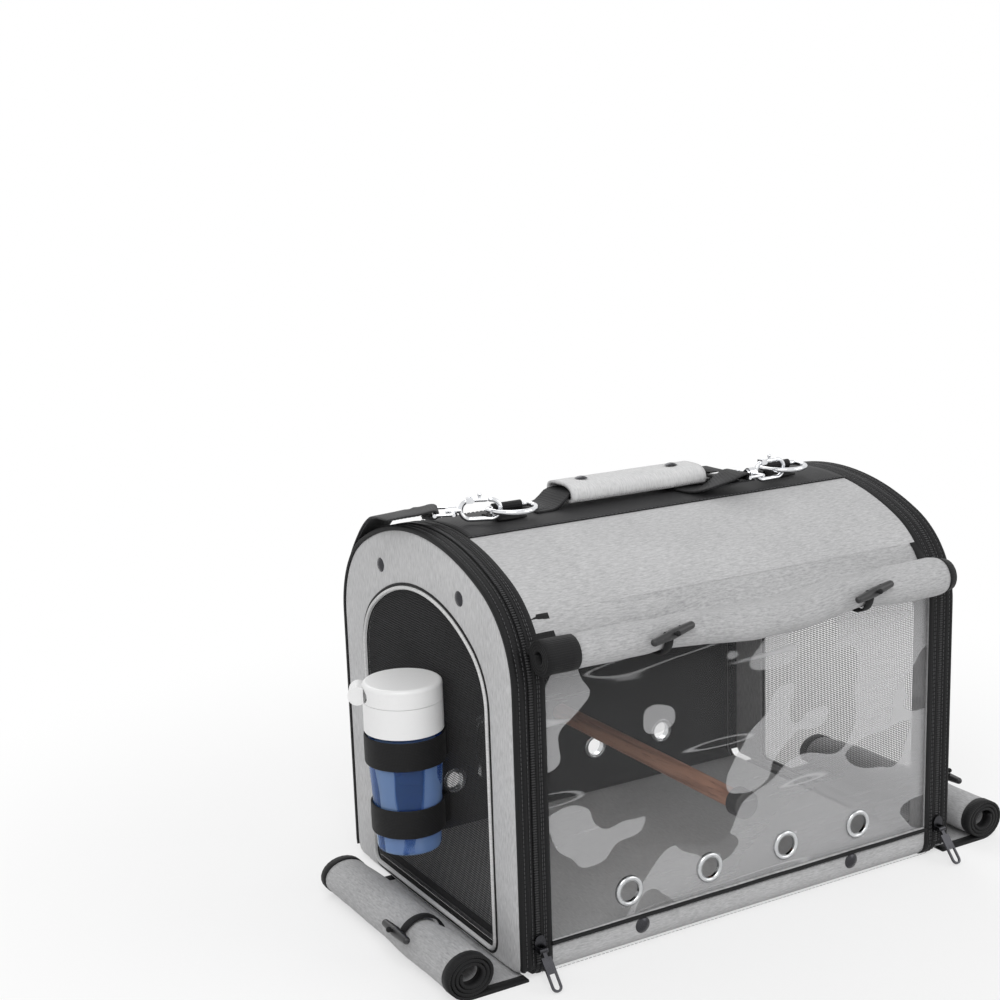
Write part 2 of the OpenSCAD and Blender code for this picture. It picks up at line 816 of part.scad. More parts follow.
module hook_swivel(side) {
    wire = 1.3;
    spread = strap_bar_half - wire;
    cross_x = barrel_x + barrel_l/2;
    color(STEEL) hook_side(side) {
        difference() {
            union() {
                translate([barrel_x, 0, 0]) rotate([0, 90, 0]) cylinder(r = 4.2, h = barrel_l);
                translate([cross_x, 0, 0]) rotate([90, 0, 0])
                    cylinder(r = wire, h = 2*strap_bar_half, center = true);
            }
            translate([barrel_x - 1, 0, 0]) rotate([0, 90, 0]) cylinder(r = stem_r + RUN_GAP, h = barrel_l + 2);
        }
        for (s = [-1, 1])
            translate([cross_x, s*spread, 0]) rotate([0, 90, 0])
                cylinder(r = wire - 0.1, h = strap_bar_x - cross_x);
        translate([strap_bar_x, 0, 0]) rotate([90, 0, 0])
            cylinder(r = strap_bar_r, h = 2*strap_bar_half, center = true);
    }
}

// Shoulder strap: one flat band from hook to hook. Each point is a place and the way its width lies
strap_t = 1.6;
function hook_dir(side) = side < 0 ? hook_turns[0] : hook_turns[1];
function hook_at(side) = side < 0 ? left_hook_at : right_hook_at;
function hooked(side, u, v) = concat(
    hook_at(side) + [u*cos(hook_dir(side)), u*sin(hook_dir(side)), v],
    -side*[sin(hook_dir(side)), -cos(hook_dir(side)), 0]);
wrap_r = strap_bar_r + 1.4;
// The band leaves the bar on top, and its sewn tail ends short below it
lead_u = strap_bar_x + 10;
tail_u = strap_bar_x + 9;
LEFT_END = [hooked(-1, tail_u, -1.6), hooked(-1, tail_u - 4, -2.2), hooked(-1, strap_bar_x, -wrap_r),
    hooked(-1, strap_bar_x - wrap_r, 0), hooked(-1, strap_bar_x, wrap_r), hooked(-1, lead_u, 1.2)];
RIGHT_END = [hooked(1, lead_u, 1.2), hooked(1, strap_bar_x, wrap_r), hooked(1, strap_bar_x - wrap_r, 0),
    hooked(1, strap_bar_x, -wrap_r), hooked(1, tail_u - 4, -2.2), hooked(1, tail_u, -1.6)];
HANG = [[-201, 22, 308.5, 0.6, 0.8, 0], [-195, 62, 300, 1, 0, 0], [-188, 100, 279, 1, 0, 0],
    [-184, 130, 248, 1, 0, 0], [-180, 147, 205, 1, -0.1, 0], [-168, 156, 150, 0.8, -0.6, 0],
    [-138, 160, 90, 0.25, -1, 0.1], [-98, 160, 45, 0, -1, 0], [-55, 160, 28, 0, -1, 0],
    [-12, 160, 45, 0, -1, 0], [22, 160, 95, -0.3, -1, 0], [42, 156, 155, -0.8, -0.6, 0],
    [50, 147, 205, -1, -0.1, 0], [50, 130, 247, -1, 0, 0], [48, 100, 277, -1, 0, 0],
    [44, 62, 294.5, -1, 0, 0], [38, 26, 301.6, -1, 0, 0], [36, 2, 303.1, -1, 0, 0],
    [42, -19, 302.6, -0.75, -0.66, 0]];
route = concat(LEFT_END, HANG, RIGHT_END);

function unit(v) = v/norm(v);
function place(i) = [for (k = [0 : 2]) route[i][k]];
function breadth(i) = [for (k = [3 : 5]) route[i][k]];
function blend_at(a, b, c, d, t) = 0.5*(2*b + (c - a)*t + (2*a - 5*b + 4*c - d)*t*t
    + (3*b - a - 3*c + d)*t*t*t);
last = len(route) - 1;
function on_route(q) = let(i = min(floor(q), last - 1), t = q - i)
    blend_at(place(max(i - 1, 0)), place(i), place(i + 1), place(min(i + 2, last)), t);
function width_at(q) = let(i = min(floor(q), last - 1), t = q - i)
    (1 - t)*breadth(i) + t*breadth(i + 1);
steps_per = 2.6;
rings = floor(last*steps_per);
function ring_q(j) = j*last/rings;
function along_at(j) = unit(on_route(ring_q(min(j + 1, rings))) - on_route(ring_q(max(j - 1, 0))));
function flat_at(j) = let(a = along_at(j), w = width_at(ring_q(j))) unit(w - (w*a)*a);
BAND = [[1, 0.5], [0.96, 1], [-0.96, 1], [-1, 0.5], [-1, -0.5], [-0.96, -1], [0.96, -1], [1, -0.5]];
function ring_points(j) = let(w = flat_at(j), n = cross(along_at(j), w), p = on_route(ring_q(j)))
    [for (b = BAND) p + w*b[0]*strap_w/2 + n*b[1]*strap_t/2];

// Both broad faces split along the same diagonal, so a twisted stretch keeps its thickness
module shoulder_strap() {
    k = len(BAND);
    h = k/2;
    color(BLACK) polyhedron(
        points = [for (j = [0 : rings], p = ring_points(j)) p],
        faces = concat([[for (i = [0 : k - 1]) i]],
            [for (j = [0 : rings - 1], i = [0 : h - 1])
                [j*k + (i + 1) % k, j*k + i, (j + 1)*k + i]],
            [for (j = [0 : rings - 1], i = [0 : h - 1])
                [j*k + (i + 1) % k, (j + 1)*k + i, (j + 1)*k + (i + 1) % k]],
            [for (j = [0 : rings - 1], i = [h : k - 1])
                [j*k + (i + 1) % k, j*k + i, (j + 1)*k + (i + 1) % k]],
            [for (j = [0 : rings - 1], i = [h : k - 1])
                [j*k + i, (j + 1)*k + i, (j + 1)*k + (i + 1) % k]],
            [[for (i = [k - 1 : -1 : 0]) rings*k + i]]));
}

// Zip sliders at the front corners, each with its pull hanging from a pin
zip_z = 28;
slider_w = 9;
slider_t = 1.6;
slider_y = -back_y - tape_t - 0.4 - 0.3;
pin_r = 0.9;
pin_out = 3.4;
pull_len = 30;
pull_w = 8;
pull_t = 1.6;
pull_lean = 40;
zip_x = (chain_x + shell_x)/2;

module zip_slider(side) {
    ear = 1.3;
    color(BLACK) end_side(side) translate([-zip_x, slider_y, zip_z]) {
        translate([0, 0, -2]) rotate([90, 0, 0]) linear_extrude(slider_t) {
            square([slider_w, 9], center = true);
            translate([0, 4]) circle(slider_w/2 - 0.5);
        }
        for (s = [-1, 1])
            translate([s*(2 + ear/2) - ear/2, 0, -4]) rotate([90, 0, 90]) linear_extrude(ear) {
                translate([-slider_t - pin_out, 0]) circle(1.9);
                translate([-slider_t - pin_out, -1.9]) square([pin_out + 0.4, 3.8]);
            }
        translate([0, -slider_t - pin_out, -4]) rotate([0, 90, 0])
            cylinder(r = pin_r, h = 4 + ear, center = true);
    }
}

module zip_pull(side) {
    color(BLACK) end_side(side) translate([-zip_x, slider_y - slider_t - pin_out, zip_z - 4])
        rotate([-pull_lean, 0, 0]) difference() {
            union() {
                rotate([0, 90, 0]) cylinder(r = 1.9, h = 3.7, center = true);
                translate([-1.5, -pull_t/2, -6]) cube([3, pull_t, 5.5]);
                translate([0, pull_t/2, 0]) rotate([90, 0, 0]) linear_extrude(pull_t) {
                    translate([-pull_w/2, -pull_len + pull_w/2]) square([pull_w, pull_len - pull_w/2 - 5]);
                    translate([0, -pull_len + pull_w/2]) circle(pull_w/2);
                }
            }
            rotate([0, 90, 0]) cylinder(r = pin_r + RUN_GAP, h = 10, center = true);
            translate([0, 5, -pull_len + pull_w/2]) rotate([90, 0, 0]) linear_extrude(10) {
                circle(pull_w/2 - 1.6);
                translate([1.6 - pull_w/2, 0]) square([pull_w - 3.2, 9]);
            }
        }
}

// End doors: a padded border round the mesh, with the door's zip round the edge of the border
module door_border(side) {
    color(GREY) end_side(side) along_x(-end_x, panel_t - end_x) above(hinge_z) difference() {
        section(OUTER, edge_t);
        section(MESH);
    }
}

module door_zips(side) {
    lip_w = 1;
    color(BLACK) end_side(side) {
        along_x(-end_x, door_edge_w - end_x) above(door_floor) section_ring(OUTER, 0, edge_t);
        along_x(-end_x - 1, -end_x) above(door_floor) section_ring(OUTER, 0, edge_t + lip_w);
    }
}

module door_mesh(side) {
    pitch_y = 2*mesh_half/(threads_across + 1);
    pitch_z = (mesh_top - mesh_floor)/(threads_up + 1);
    color(BLACK) end_side(side) along_x(-end_x, 1.2 - end_x) {
        section_ring(MESH, 0, 2);
        intersection() {
            section(MESH, 0.5);
            union() {
                for (i = [1 : threads_across])
                    translate([i*pitch_y - mesh_half - thread_w/2, mesh_floor])
                        square([thread_w, mesh_top - mesh_floor]);
                for (i = [1 : threads_up])
                    translate([-mesh_half, mesh_floor + i*pitch_z - thread_w/2])
                        square([2*mesh_half, thread_w]);
            }
        }
    }
}

module door_piping(side) {
    color(PALE) end_side(side) {
        along_x(-end_x - 1.2, -end_x) section_ring(MESH, -4, 0.5);
        translate([-hinge_x, 2*foot_r - back_y, hinge_z]) rotate([-90, 0, 0])
            difference() {
                cylinder(r = hinge_r, h = body_depth - 4*foot_r);
                translate([-panel_t/2, -2*hinge_r, -1]) cube([panel_t, 2*hinge_r, body_depth]);
            }
    }
}

module door_studs(side) {
    color(BLACK) end_side(side) for (s = [-1, 1])
        translate([-end_x, s*door_stud_gap/2, door_stud_z]) rotate([0, -90, 0]) stud();
}

// Bottle in two elastic loops on the left door
bottle_x = -end_x - 32;
bottle_wall = 1.3;
loop_gap = 0.4;
band_t = 1.2;
band_h = 21;
upper_band_z = bottle_z + bottle_h - band_h - 2;
lower_band_z = bottle_z + 15;
neck_r = 20;
shoulder_h = 5;
taper_h = bottle_h - shoulder_h;
lid_h = 14;
cap_r = bottle_r + 1;
cap_z = bottle_z + bottle_h + 0.3;
lid_z = cap_z + cap_h - lid_h;
hinge_out = cap_r + 3;
knuckle_r = 7;
lid_axis_z = lid_z + 5.4;
lug_angle = 151;
knuckle_half = 4.5;
function bottle_r_at(z) = bottle_foot_r + (bottle_r - bottle_foot_r)*min(max(z - bottle_z, 0)/taper_h, 1);

module bottle_loops() {
    sewn = 12;
    color(BLACK) for (z = [upper_band_z, lower_band_z]) {
        r = bottle_r_at(z + band_h) + loop_gap;
        translate([bottle_x, bottle_y, z]) {
            rotate_extrude() translate([r, 0]) square([band_t, band_h]);
            // Where the loop is sewn to the door
            translate([r + band_t/4, -sewn/2, 0]) cube([-end_x - bottle_x - r - band_t/4, sewn, band_h]);
        }
    }
}

// Half section of the bottle, drawn in by inset on all sides but its mouth
module bottle_half(inset) {
    bend = 3;
    polygon([[0, inset], [bottle_foot_r - bend, inset], [bottle_foot_r - inset*0.7 - 0.6, bend*0.35 + inset*0.7],
        [bottle_foot_r - inset, bend + inset*0.2], [bottle_r - inset, taper_h - inset*0.3],
        [bottle_r - inset - 1.2, taper_h + 1.6 - inset*0.6],
        [neck_r - inset, taper_h + shoulder_h - inset], [neck_r - inset, taper_h + shoulder_h + 12],
        [0, taper_h + shoulder_h + 12]]);
}

module bottle_body() {
    color([0.35, 0.55, 0.85, 0.6]) translate([bottle_x, bottle_y, bottle_z]) rotate_extrude()
        difference() {
            bottle_half(0);
            bottle_half(bottle_wall);
            translate([-1, taper_h + shoulder_h + 11]) square([neck_r - bottle_wall + 1, 4]);
        }
}

module lid_frame() {
    translate([bottle_x, bottle_y, 0]) rotate([0, 0, lug_angle]) children();
}

module knuckle(r, half) {
    translate([hinge_out, 0, lid_axis_z]) rotate([90, 0, 0]) cylinder(r = r, h = 2*half, center = true);
}

module bottle_cap() {
    skirt = 1.5;
    pin = 1.2;
    color([0.93, 0.93, 0.93]) lid_frame() {
        difference() {
            union() {
                difference() {
                    translate([0, 0, cap_z]) cylinder(r = cap_r, h = lid_z - cap_z);
                    translate([0, 0, cap_z - 1]) difference() {
                        cylinder(r = cap_r - skirt, h = lid_z - cap_z - 2);
                        cylinder(r = neck_r + 0.1 + skirt, h = lid_z - cap_z - 2);
                    }
                    translate([0, 0, cap_z - 1]) cylinder(r = neck_r + 0.1, h = lid_z - cap_z - 2);
                }
                translate([0, 0, lid_z - 1]) cylinder(r = 5, h = 7);
                knuckle(knuckle_r, knuckle_half + 4);
            }
            knuckle(knuckle_r + 0.3, knuckle_half + 0.1);
            translate([0, 0, lid_z - 8]) cylinder(r = 3, h = 20);
            intersection() {
                translate([0, 0, lid_z]) cylinder(r = cap_r - 0.01, h = lid_h + 5);
                knuckle(knuckle_r + 1, knuckle_half + 6);
            }
        }
        knuckle(pin, knuckle_half + 2);
    }
}

module bottle_lid() {
    t = 1.6;
    round = 3;
    pin = 1.2;
    color([0.95, 0.95, 0.95]) lid_frame() difference() {
        union() {
            difference() {
                translate([0, 0, lid_z + 0.3]) rotate_extrude() {
                    square([cap_r, lid_h - round]);
                    square([cap_r - round, lid_h]);
                    translate([cap_r - round, lid_h - round]) circle(round);
                }
                translate([0, 0, lid_z - 1]) cylinder(r = cap_r - t, h = lid_h + 1 - t);
            }
            knuckle(knuckle_r, knuckle_half);
            intersection() {
                translate([0, 0, lid_z + 0.3]) cylinder(r = cap_r, h = lid_h - t);
                knuckle(knuckle_r, knuckle_half);
            }
        }
        for (s = [-1, 1])
            translate([hinge_out, s*(knuckle_half + 5.2), lid_axis_z]) rotate([90, 0, 0])
                cylinder(r = knuckle_r + 0.3, h = 10.2, center = true);
        knuckle(pin + RUN_GAP, 20);
    }
}

fabric_shell();
black_lining();
base_board();
floor_mat();
zip_tape(-1);  // left_zip_tape
zip_tape(1);  // right_zip_tape
top_strip();
window_film();
window_eyelets();
back_eyelets();
window_piping();
band_studs();
perch_rod();
perch_cap();
perch_screw();
perch_wing_nut();
cup_hanger();
feeding_cup();
front_cover_roll();
end_cover_roll(-1);  // left_cover_roll
end_cover_roll(1);  // right_cover_roll
roll_end_trims();
roll_loops();
front_toggle(-1);  // front_left_toggle
front_toggle(1);  // front_right_toggle
end_toggle(-1);  // left_toggle
end_toggle(1);  // right_toggle
strap_tabs();
d_ring(-1);  // left_d_ring
d_ring(1);  // right_d_ring
handle_webbing();
handle_grip();
handle_snaps();
hook_swivel(-1);  // left_hook_swivel
hook_swivel(1);  // right_hook_swivel
snap_hook(-1);  // left_snap_hook
snap_hook(1);  // right_snap_hook
hook_gate(-1);  // left_hook_gate
hook_gate(1);  // right_hook_gate
shoulder_strap();
zip_slider(-1);  // left_zip_slider
zip_pull(-1);  // left_zip_pull
zip_slider(1);  // right_zip_slider
zip_pull(1);  // right_zip_pull
door_border(-1);  // left_door_border
door_zips(-1);  // left_door_zips
door_mesh(-1);  // left_door_mesh
door_piping(-1);  // left_door_piping
door_studs(-1);  // left_door_studs
bottle_loops();
bottle_body();
bottle_cap();
bottle_lid();
door_border(1);  // right_door_border
door_zips(1);  // right_door_zips
door_mesh(1);  // right_door_mesh
door_piping(1);  // right_door_piping
door_studs(1);  // right_door_studs
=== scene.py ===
"""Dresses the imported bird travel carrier: cloth, net, clear film, zips, rolled covers, bottle and strap."""
import logging
import math
from dataclasses import dataclass, field
from enum import Enum
from typing import Callable, Sequence

import bmesh
import bpy
from mathutils import Matrix, Vector, noise


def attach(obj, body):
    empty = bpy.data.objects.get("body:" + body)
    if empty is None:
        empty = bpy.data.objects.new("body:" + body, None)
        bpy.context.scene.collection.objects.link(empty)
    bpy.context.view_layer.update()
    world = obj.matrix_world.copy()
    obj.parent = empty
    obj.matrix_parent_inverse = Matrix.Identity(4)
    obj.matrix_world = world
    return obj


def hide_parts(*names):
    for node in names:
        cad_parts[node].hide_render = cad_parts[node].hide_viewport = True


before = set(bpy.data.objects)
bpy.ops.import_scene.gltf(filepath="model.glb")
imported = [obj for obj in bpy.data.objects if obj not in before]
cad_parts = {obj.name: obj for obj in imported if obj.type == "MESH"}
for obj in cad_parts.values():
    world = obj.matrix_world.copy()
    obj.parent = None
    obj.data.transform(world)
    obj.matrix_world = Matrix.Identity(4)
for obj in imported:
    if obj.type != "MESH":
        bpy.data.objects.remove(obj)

log = logging.getLogger("carrier")
MM = 0.001
Row = list[Vector]
BANDS_PER_UNIT = 3.18


class Side(Enum):
    """The two ends of the carrier."""

    LEFT = -1
    RIGHT = 1

    @property
    def word(self) -> str:
        """The end's name as the nodes and bodies use it."""
        return self.name.lower()


class Grain(Enum):
    """The direction that the streaks of a cloth run in, along its map."""

    ACROSS = (1.0, 0.0)
    ALONG = (0.0, 1.0)


def smooth(value: float, low: float, high: float) -> float:
    """Goes smoothly from 0 at low to 1 at high.

    Args:
        value: The number to place between the two.
        low: Where the result is 0.
        high: Where the result is 1.

    Returns:
        A number from 0 to 1.
    """
    t = min(max((value - low) / (high - low), 0.0), 1.0)
    return t * t * (3 - 2 * t)


def bell(value: float, middle: float, width: float) -> float:
    """A bell curve that is 1 at its middle and almost nothing two widths away."""
    return math.exp(-(((value - middle) / width) ** 2))


def spread(start: float, end: float, count: int) -> list[float]:
    """Even steps from one number to another, with both ends."""
    return [start + (end - start) * k / count for k in range(count + 1)]


def add(name: str, data: bpy.types.ID) -> bpy.types.Object:
    """Makes an object of its data and links it to the scene."""
    obj = bpy.data.objects.new(name, data)
    bpy.context.scene.collection.objects.link(obj)
    return obj


def ripple(x: float, y: float, z: float, size: float, seed: float = 0.0) -> float:
    """Smooth noise from -1 to 1 at a place in millimetres, with bumps of about a given size."""
    return noise.noise(Vector((x / size + seed, y / size - seed, z / size + 2 * seed)))


class Sock:
    """A shader socket that adds, multiplies and compares as a number does."""

    def __init__(self, graph: "Graph", out: bpy.types.NodeSocket) -> None:
        """Wraps an output socket of one node tree."""
        self.graph = graph
        self.out = out

    def _maths(self, operation: str, *others: "Sock | float") -> "Sock":
        """Runs one Math node on this socket and the others."""
        node = self.graph.tree.nodes.new("ShaderNodeMath")
        node.operation = operation
        self.graph.feed(node.inputs[0], self)
        for i, other in enumerate(others):
            self.graph.feed(node.inputs[i + 1], other)
        return Sock(self.graph, node.outputs[0])

    def __add__(self, other: "Sock | float") -> "Sock":
        """Adds."""
        return self._maths("ADD", other)

    __radd__ = __add__

    def __sub__(self, other: "Sock | float") -> "Sock":
        """Subtracts."""
        return self._maths("SUBTRACT", other)

    def __rsub__(self, other: float) -> "Sock":
        """Subtracts this from a number."""
        return self * -1.0 + other

    def __mul__(self, other: "Sock | float") -> "Sock":
        """Multiplies."""
        return self._maths("MULTIPLY", other)

    __rmul__ = __mul__

    def __pow__(self, other: float) -> "Sock":
        """Raises to a power."""
        return self._maths("POWER", other)

    def most(self, other: "Sock | float") -> "Sock":
        """The larger of the two."""
        return self._maths("MAXIMUM", other)

    def ramp(self, low: float, high: float, to_low: float = 0.0, to_high: float = 1.0) -> "Sock":
        """Maps a range smoothly onto another and stops at its ends."""
        node = self.graph.tree.nodes.new("ShaderNodeMapRange")
        node.interpolation_type = "SMOOTHSTEP"
        self.graph.feed(node.inputs["Value"], self)
        values = (low, high, to_low, to_high)
        for name, value in zip(("From Min", "From Max", "To Min", "To Max"), values):
            node.inputs[name].default_value = value
        return Sock(self.graph, node.outputs[0])


Colour = tuple[float, float, float]


class Graph:
    """The node tree of one material."""

    def __init__(self, name: str) -> None:
        """Starts an empty tree.

        Args:
            name: The material's name.
        """
        self.material = bpy.data.materials.new(name)
        self.material.use_nodes = True
        self.tree = self.material.node_tree
        self.tree.nodes.clear()
        self.output = self.tree.nodes.new("ShaderNodeOutputMaterial")

    def feed(self, socket: bpy.types.NodeSocket, value: "Sock | float | Sequence[float]") -> None:
        """Links a socket, or sets its plain value."""
        if isinstance(value, Sock):
            self.tree.links.new(value.out, socket)
        elif isinstance(value, (tuple, list)) and len(value) == 3 and socket.type == "RGBA":
            socket.default_value = (*value, 1.0)
        else:
            socket.default_value = value

    def place(self, mapped: bool, scale: Sequence[float], shift: Sequence[float] = (0, 0, 0)) -> Sock:
        """Coordinates for a pattern.

        Args:
            mapped: True for the piece's own map, False for its place in the frame.
            scale: What each direction is multiplied by; both are in metres.
            shift: What is added afterwards.

        Returns:
            The scaled coordinates.
        """
        coords = self.tree.nodes.new("ShaderNodeTexCoord")
        mapping = self.tree.nodes.new("ShaderNodeMapping")
        self.tree.links.new(coords.outputs["UV" if mapped else "Object"], mapping.inputs[0])
        mapping.inputs["Scale"].default_value = scale
        mapping.inputs["Location"].default_value = shift
        return Sock(self, mapping.outputs[0])

    def noise(self, at: Sock, scale: float, detail: float = 2.0, rough: float = 0.5) -> Sock:
        """Cloudy noise from 0 to 1."""
        node = self.tree.nodes.new("ShaderNodeTexNoise")
        self.feed(node.inputs["Vector"], at)
        for name, value in (("Scale", scale), ("Detail", detail), ("Roughness", rough)):
            node.inputs[name].default_value = value
        return Sock(self, node.outputs[0])

    def cloud(self, mapped: bool, scale: Sequence[float], detail: float = 2.0, rough: float = 0.5,
              shift: Sequence[float] = (0, 0, 0)) -> Sock:
        """Noise with a size of its own in each direction; the rest is as for place and noise."""
        return self.noise(self.place(mapped, scale, shift), 1.0, detail, rough)

    def wave(self, at: Sock, scale: float, across: str = "X", bend: float = 0.0) -> Sock:
        """Even sine bands from 0 to 1; a scale of 1 gives about 3.2 bands to the unit."""
        node = self.tree.nodes.new("ShaderNodeTexWave")
        node.bands_direction = across
        self.feed(node.inputs["Vector"], at)
        for name, value in (("Scale", scale), ("Distortion", bend), ("Detail", 1.0), ("Detail Scale", 2.0)):
            node.inputs[name].default_value = value
        return Sock(self, node.outputs[1])

    def mix(self, share: Sock | float, first: Sock | Colour, second: Sock | Colour) -> Sock:
        """Mixes two colours."""
        node = self.tree.nodes.new("ShaderNodeMix")
        node.data_type = "RGBA"
        self.feed(node.inputs[0], share)
        self.feed(node.inputs[6], first)
        self.feed(node.inputs[7], second)
        return Sock(self, node.outputs[2])

    def bump(self, height: Sock, depth: float, strength: float = 1.0) -> Sock:
        """A normal from a height from 0 to 1 that stands for depth in metres."""
        node = self.tree.nodes.new("ShaderNodeBump")
        node.inputs["Strength"].default_value = strength
        node.inputs["Distance"].default_value = depth
        self.feed(node.inputs["Height"], height)
        return Sock(self, node.outputs[0])

    def shader(self, **values: "Sock | float | Colour") -> Sock:
        """A Principled shader; a name's underscores stand for spaces."""
        node = self.tree.nodes.new("ShaderNodeBsdfPrincipled")
        for name, value in values.items():
            self.feed(node.inputs[name.replace("_", " ")], value)
        return Sock(self, node.outputs[0])

    def blend(self, share: Sock | float, first: Sock, second: Sock) -> Sock:
        """Mixes two shaders."""
        node = self.tree.nodes.new("ShaderNodeMixShader")
        self.feed(node.inputs[0], share)
        self.feed(node.inputs[1], first)
        self.feed(node.inputs[2], second)
        return Sock(self, node.outputs[0])

    def clear(self, colour: Colour = (1.0, 1.0, 1.0)) -> Sock:
        """A see-through shader that lets one colour through."""
        node = self.tree.nodes.new("ShaderNodeBsdfTransparent")
        self.feed(node.inputs["Color"], colour)
        return Sock(self, node.outputs[0])

    def ray(self, name: str) -> Sock:
        """A number that is 1 for one kind of ray."""
        return Sock(self, self.tree.nodes.new("ShaderNodeLightPath").outputs[name])

    def finish(self, surface: Sock) -> bpy.types.Material:
        """Ends the tree in a surface."""
        self.tree.links.new(surface.out, self.output.inputs["Surface"])
        return self.material


@dataclass(frozen=True)
class Finish:
    """A finish with its name and the record's material slot that it stands for."""

    name: str
    slot: str

    def paint(self, graph: Graph) -> Sock:
        """Builds the shader in the graph and returns it."""
        raise NotImplementedError

    def material(self) -> bpy.types.Material:
        """The material, made the first time that it is asked for."""
        known = bpy.data.materials.get(self.name)
        if known is not None:
            return known
        graph = Graph(self.name)
        return graph.finish(self.paint(graph))


@dataclass(frozen=True)
class HeatherCloth(Finish):
    """Polyester cloth of pale and dark yarns, which shows as fine streaks."""

    pale: Colour = (0.56, 0.56, 0.565)
    dark: Colour = (0.33, 0.33, 0.335)
    grain: Grain = Grain.ACROSS
    yarn: float = 0.00055

    def paint(self, graph: Graph) -> Sock:
        """Streaks of two yarns over a plain weave."""
        along, across = (120.0, 900.0)
        u, v = (along, across) if self.grain is Grain.ACROSS else (across, along)
        streaks = graph.cloud(True, (u, v, 1), 3.0, 0.6)
        fine = graph.cloud(True, (u * 2.4, v * 1.7, 1), 2.0, 0.6, (3, 7, 0))
        patches = graph.cloud(True, (16, 16, 1))
        share = (streaks * 0.50 + fine * 0.44 + patches * 0.16).ramp(0.36, 0.78)
        bands = 1 / (BANDS_PER_UNIT * self.yarn)
        weave = graph.wave(graph.place(True, (bands, bands, 1)), 1.0, "X").most(
            graph.wave(graph.place(True, (bands, bands, 1)), 1.0, "Y"))
        height = weave * 0.55 + fine * 0.45
        colour = graph.mix(share, self.pale, self.dark)
        return graph.shader(
            Base_Color=colour, Roughness=0.86, Specular_IOR_Level=0.25, Sheen_Weight=0.12,
            Sheen_Roughness=0.5, Normal=graph.bump(height, 0.00022, 0.55))


@dataclass(frozen=True)
class BlackWebbing(Finish):
    """Black polyester tape or webbing with ribs across it."""

    colour: Colour = (0.0045, 0.0045, 0.005)
    rib: float = 0.0016
    # edge: the lighter colour of the raised rib crests, which is a painted highlight, and of the dust.
    edge: Colour = (0.013, 0.013, 0.014)

    def paint(self, graph: Graph) -> Sock:
        """Ribs along the map's second direction, twill along the first, and a little dust; the raised ribs
        are painted lighter than the hollows, a painted highlight.
        """
        bands = 1 / (BANDS_PER_UNIT * self.rib)
        at = graph.place(True, (bands, bands, 1))
        ribs = graph.wave(at, 1.0, "Y")
        twill = graph.wave(at, 2.1, "DIAGONAL", 0.6)
        dust = graph.cloud(True, (150, 150, 1), 3.0).ramp(0.55, 0.85)
        lift = ribs * 0.65 + twill * 0.35
        # Rib crests are painted lighter as a painted highlight, mixed with real dust.
        colour = graph.mix((lift * 0.55 + dust * 0.45).ramp(0.25, 0.95), self.colour, self.edge)
        return graph.shader(
            Base_Color=colour, Roughness=0.66, Specular_IOR_Level=0.26, Sheen_Weight=0.03,
            Sheen_Roughness=0.4, Normal=graph.bump(lift, 0.00030, 0.8))


@dataclass(frozen=True)
class Yarn(Finish):
    """Plain yarn for stitches, zip teeth and the strands of the net."""

    colour: Colour = (0.02, 0.02, 0.021)
    rough: float = 0.6

    def paint(self, graph: Graph) -> Sock:
        """A faint twist and an uneven shade."""
        at = graph.place(False, (1, 1, 1))
        twist = graph.noise(at, 1800.0, 2.0)
        lighter = tuple(min(c * 1.9 + 0.004, 1.0) for c in self.colour)
        return graph.shader(
            Base_Color=graph.mix(twist.ramp(0.3, 0.75), self.colour, lighter), Roughness=self.rough,
            Specular_IOR_Level=0.4, Normal=graph.bump(twist, 0.0002, 0.4))


@dataclass(frozen=True)
class Moulded(Finish):
    """Moulded plastic or rubber with a fine grain and small scuffs."""

    colour: Colour = (0.016, 0.016, 0.017)
    rough: float = 0.38
    grain: float = 0.00006
    scuff: float = 0.5

    def paint(self, graph: Graph) -> Sock:
        """Grain as bump, scuffs in colour and roughness."""
        at = graph.place(False, (1, 1, 1))
        fine = graph.noise(at, 2600.0, 2.0)
        wear = graph.noise(graph.place(False, (1, 1, 2.5)), 240.0, 5.0, 0.7).ramp(0.56, 0.74)
        worn = tuple(c + (0.09 if c < 0.3 else -0.07) * self.scuff for c in self.colour)
        return graph.shader(
            Base_Color=graph.mix(wear, self.colour, worn),
            Roughness=fine * 0.08 + wear * 0.16 + (self.rough - 0.05),
            Normal=graph.bump(fine * 0.8 + wear * 0.2, self.grain, 0.5))


@dataclass(frozen=True)
class BrightMetal(Finish):
    """Plated or pressed metal with fine rubbed scratches."""

    colour: Colour = (0.76, 0.77, 0.79)
    rough: float = 0.16

    def paint(self, graph: Graph) -> Sock:
        """Scratches in one direction and a slightly uneven polish."""
        rub = graph.cloud(False, (900, 60, 900), 3.0, 0.7)
        cloud = graph.noise(graph.place(False, (1, 1, 1)), 160.0, 3.0)
        duller = tuple(c * 0.80 for c in self.colour)
        return graph.shader(
            Base_Color=graph.mix(cloud.ramp(0.4, 0.8), self.colour, duller), Metallic=1.0,
            Roughness=rub * 0.10 + cloud * 0.06 + (self.rough - 0.07),
            Normal=graph.bump(rub, 0.00003, 0.4))


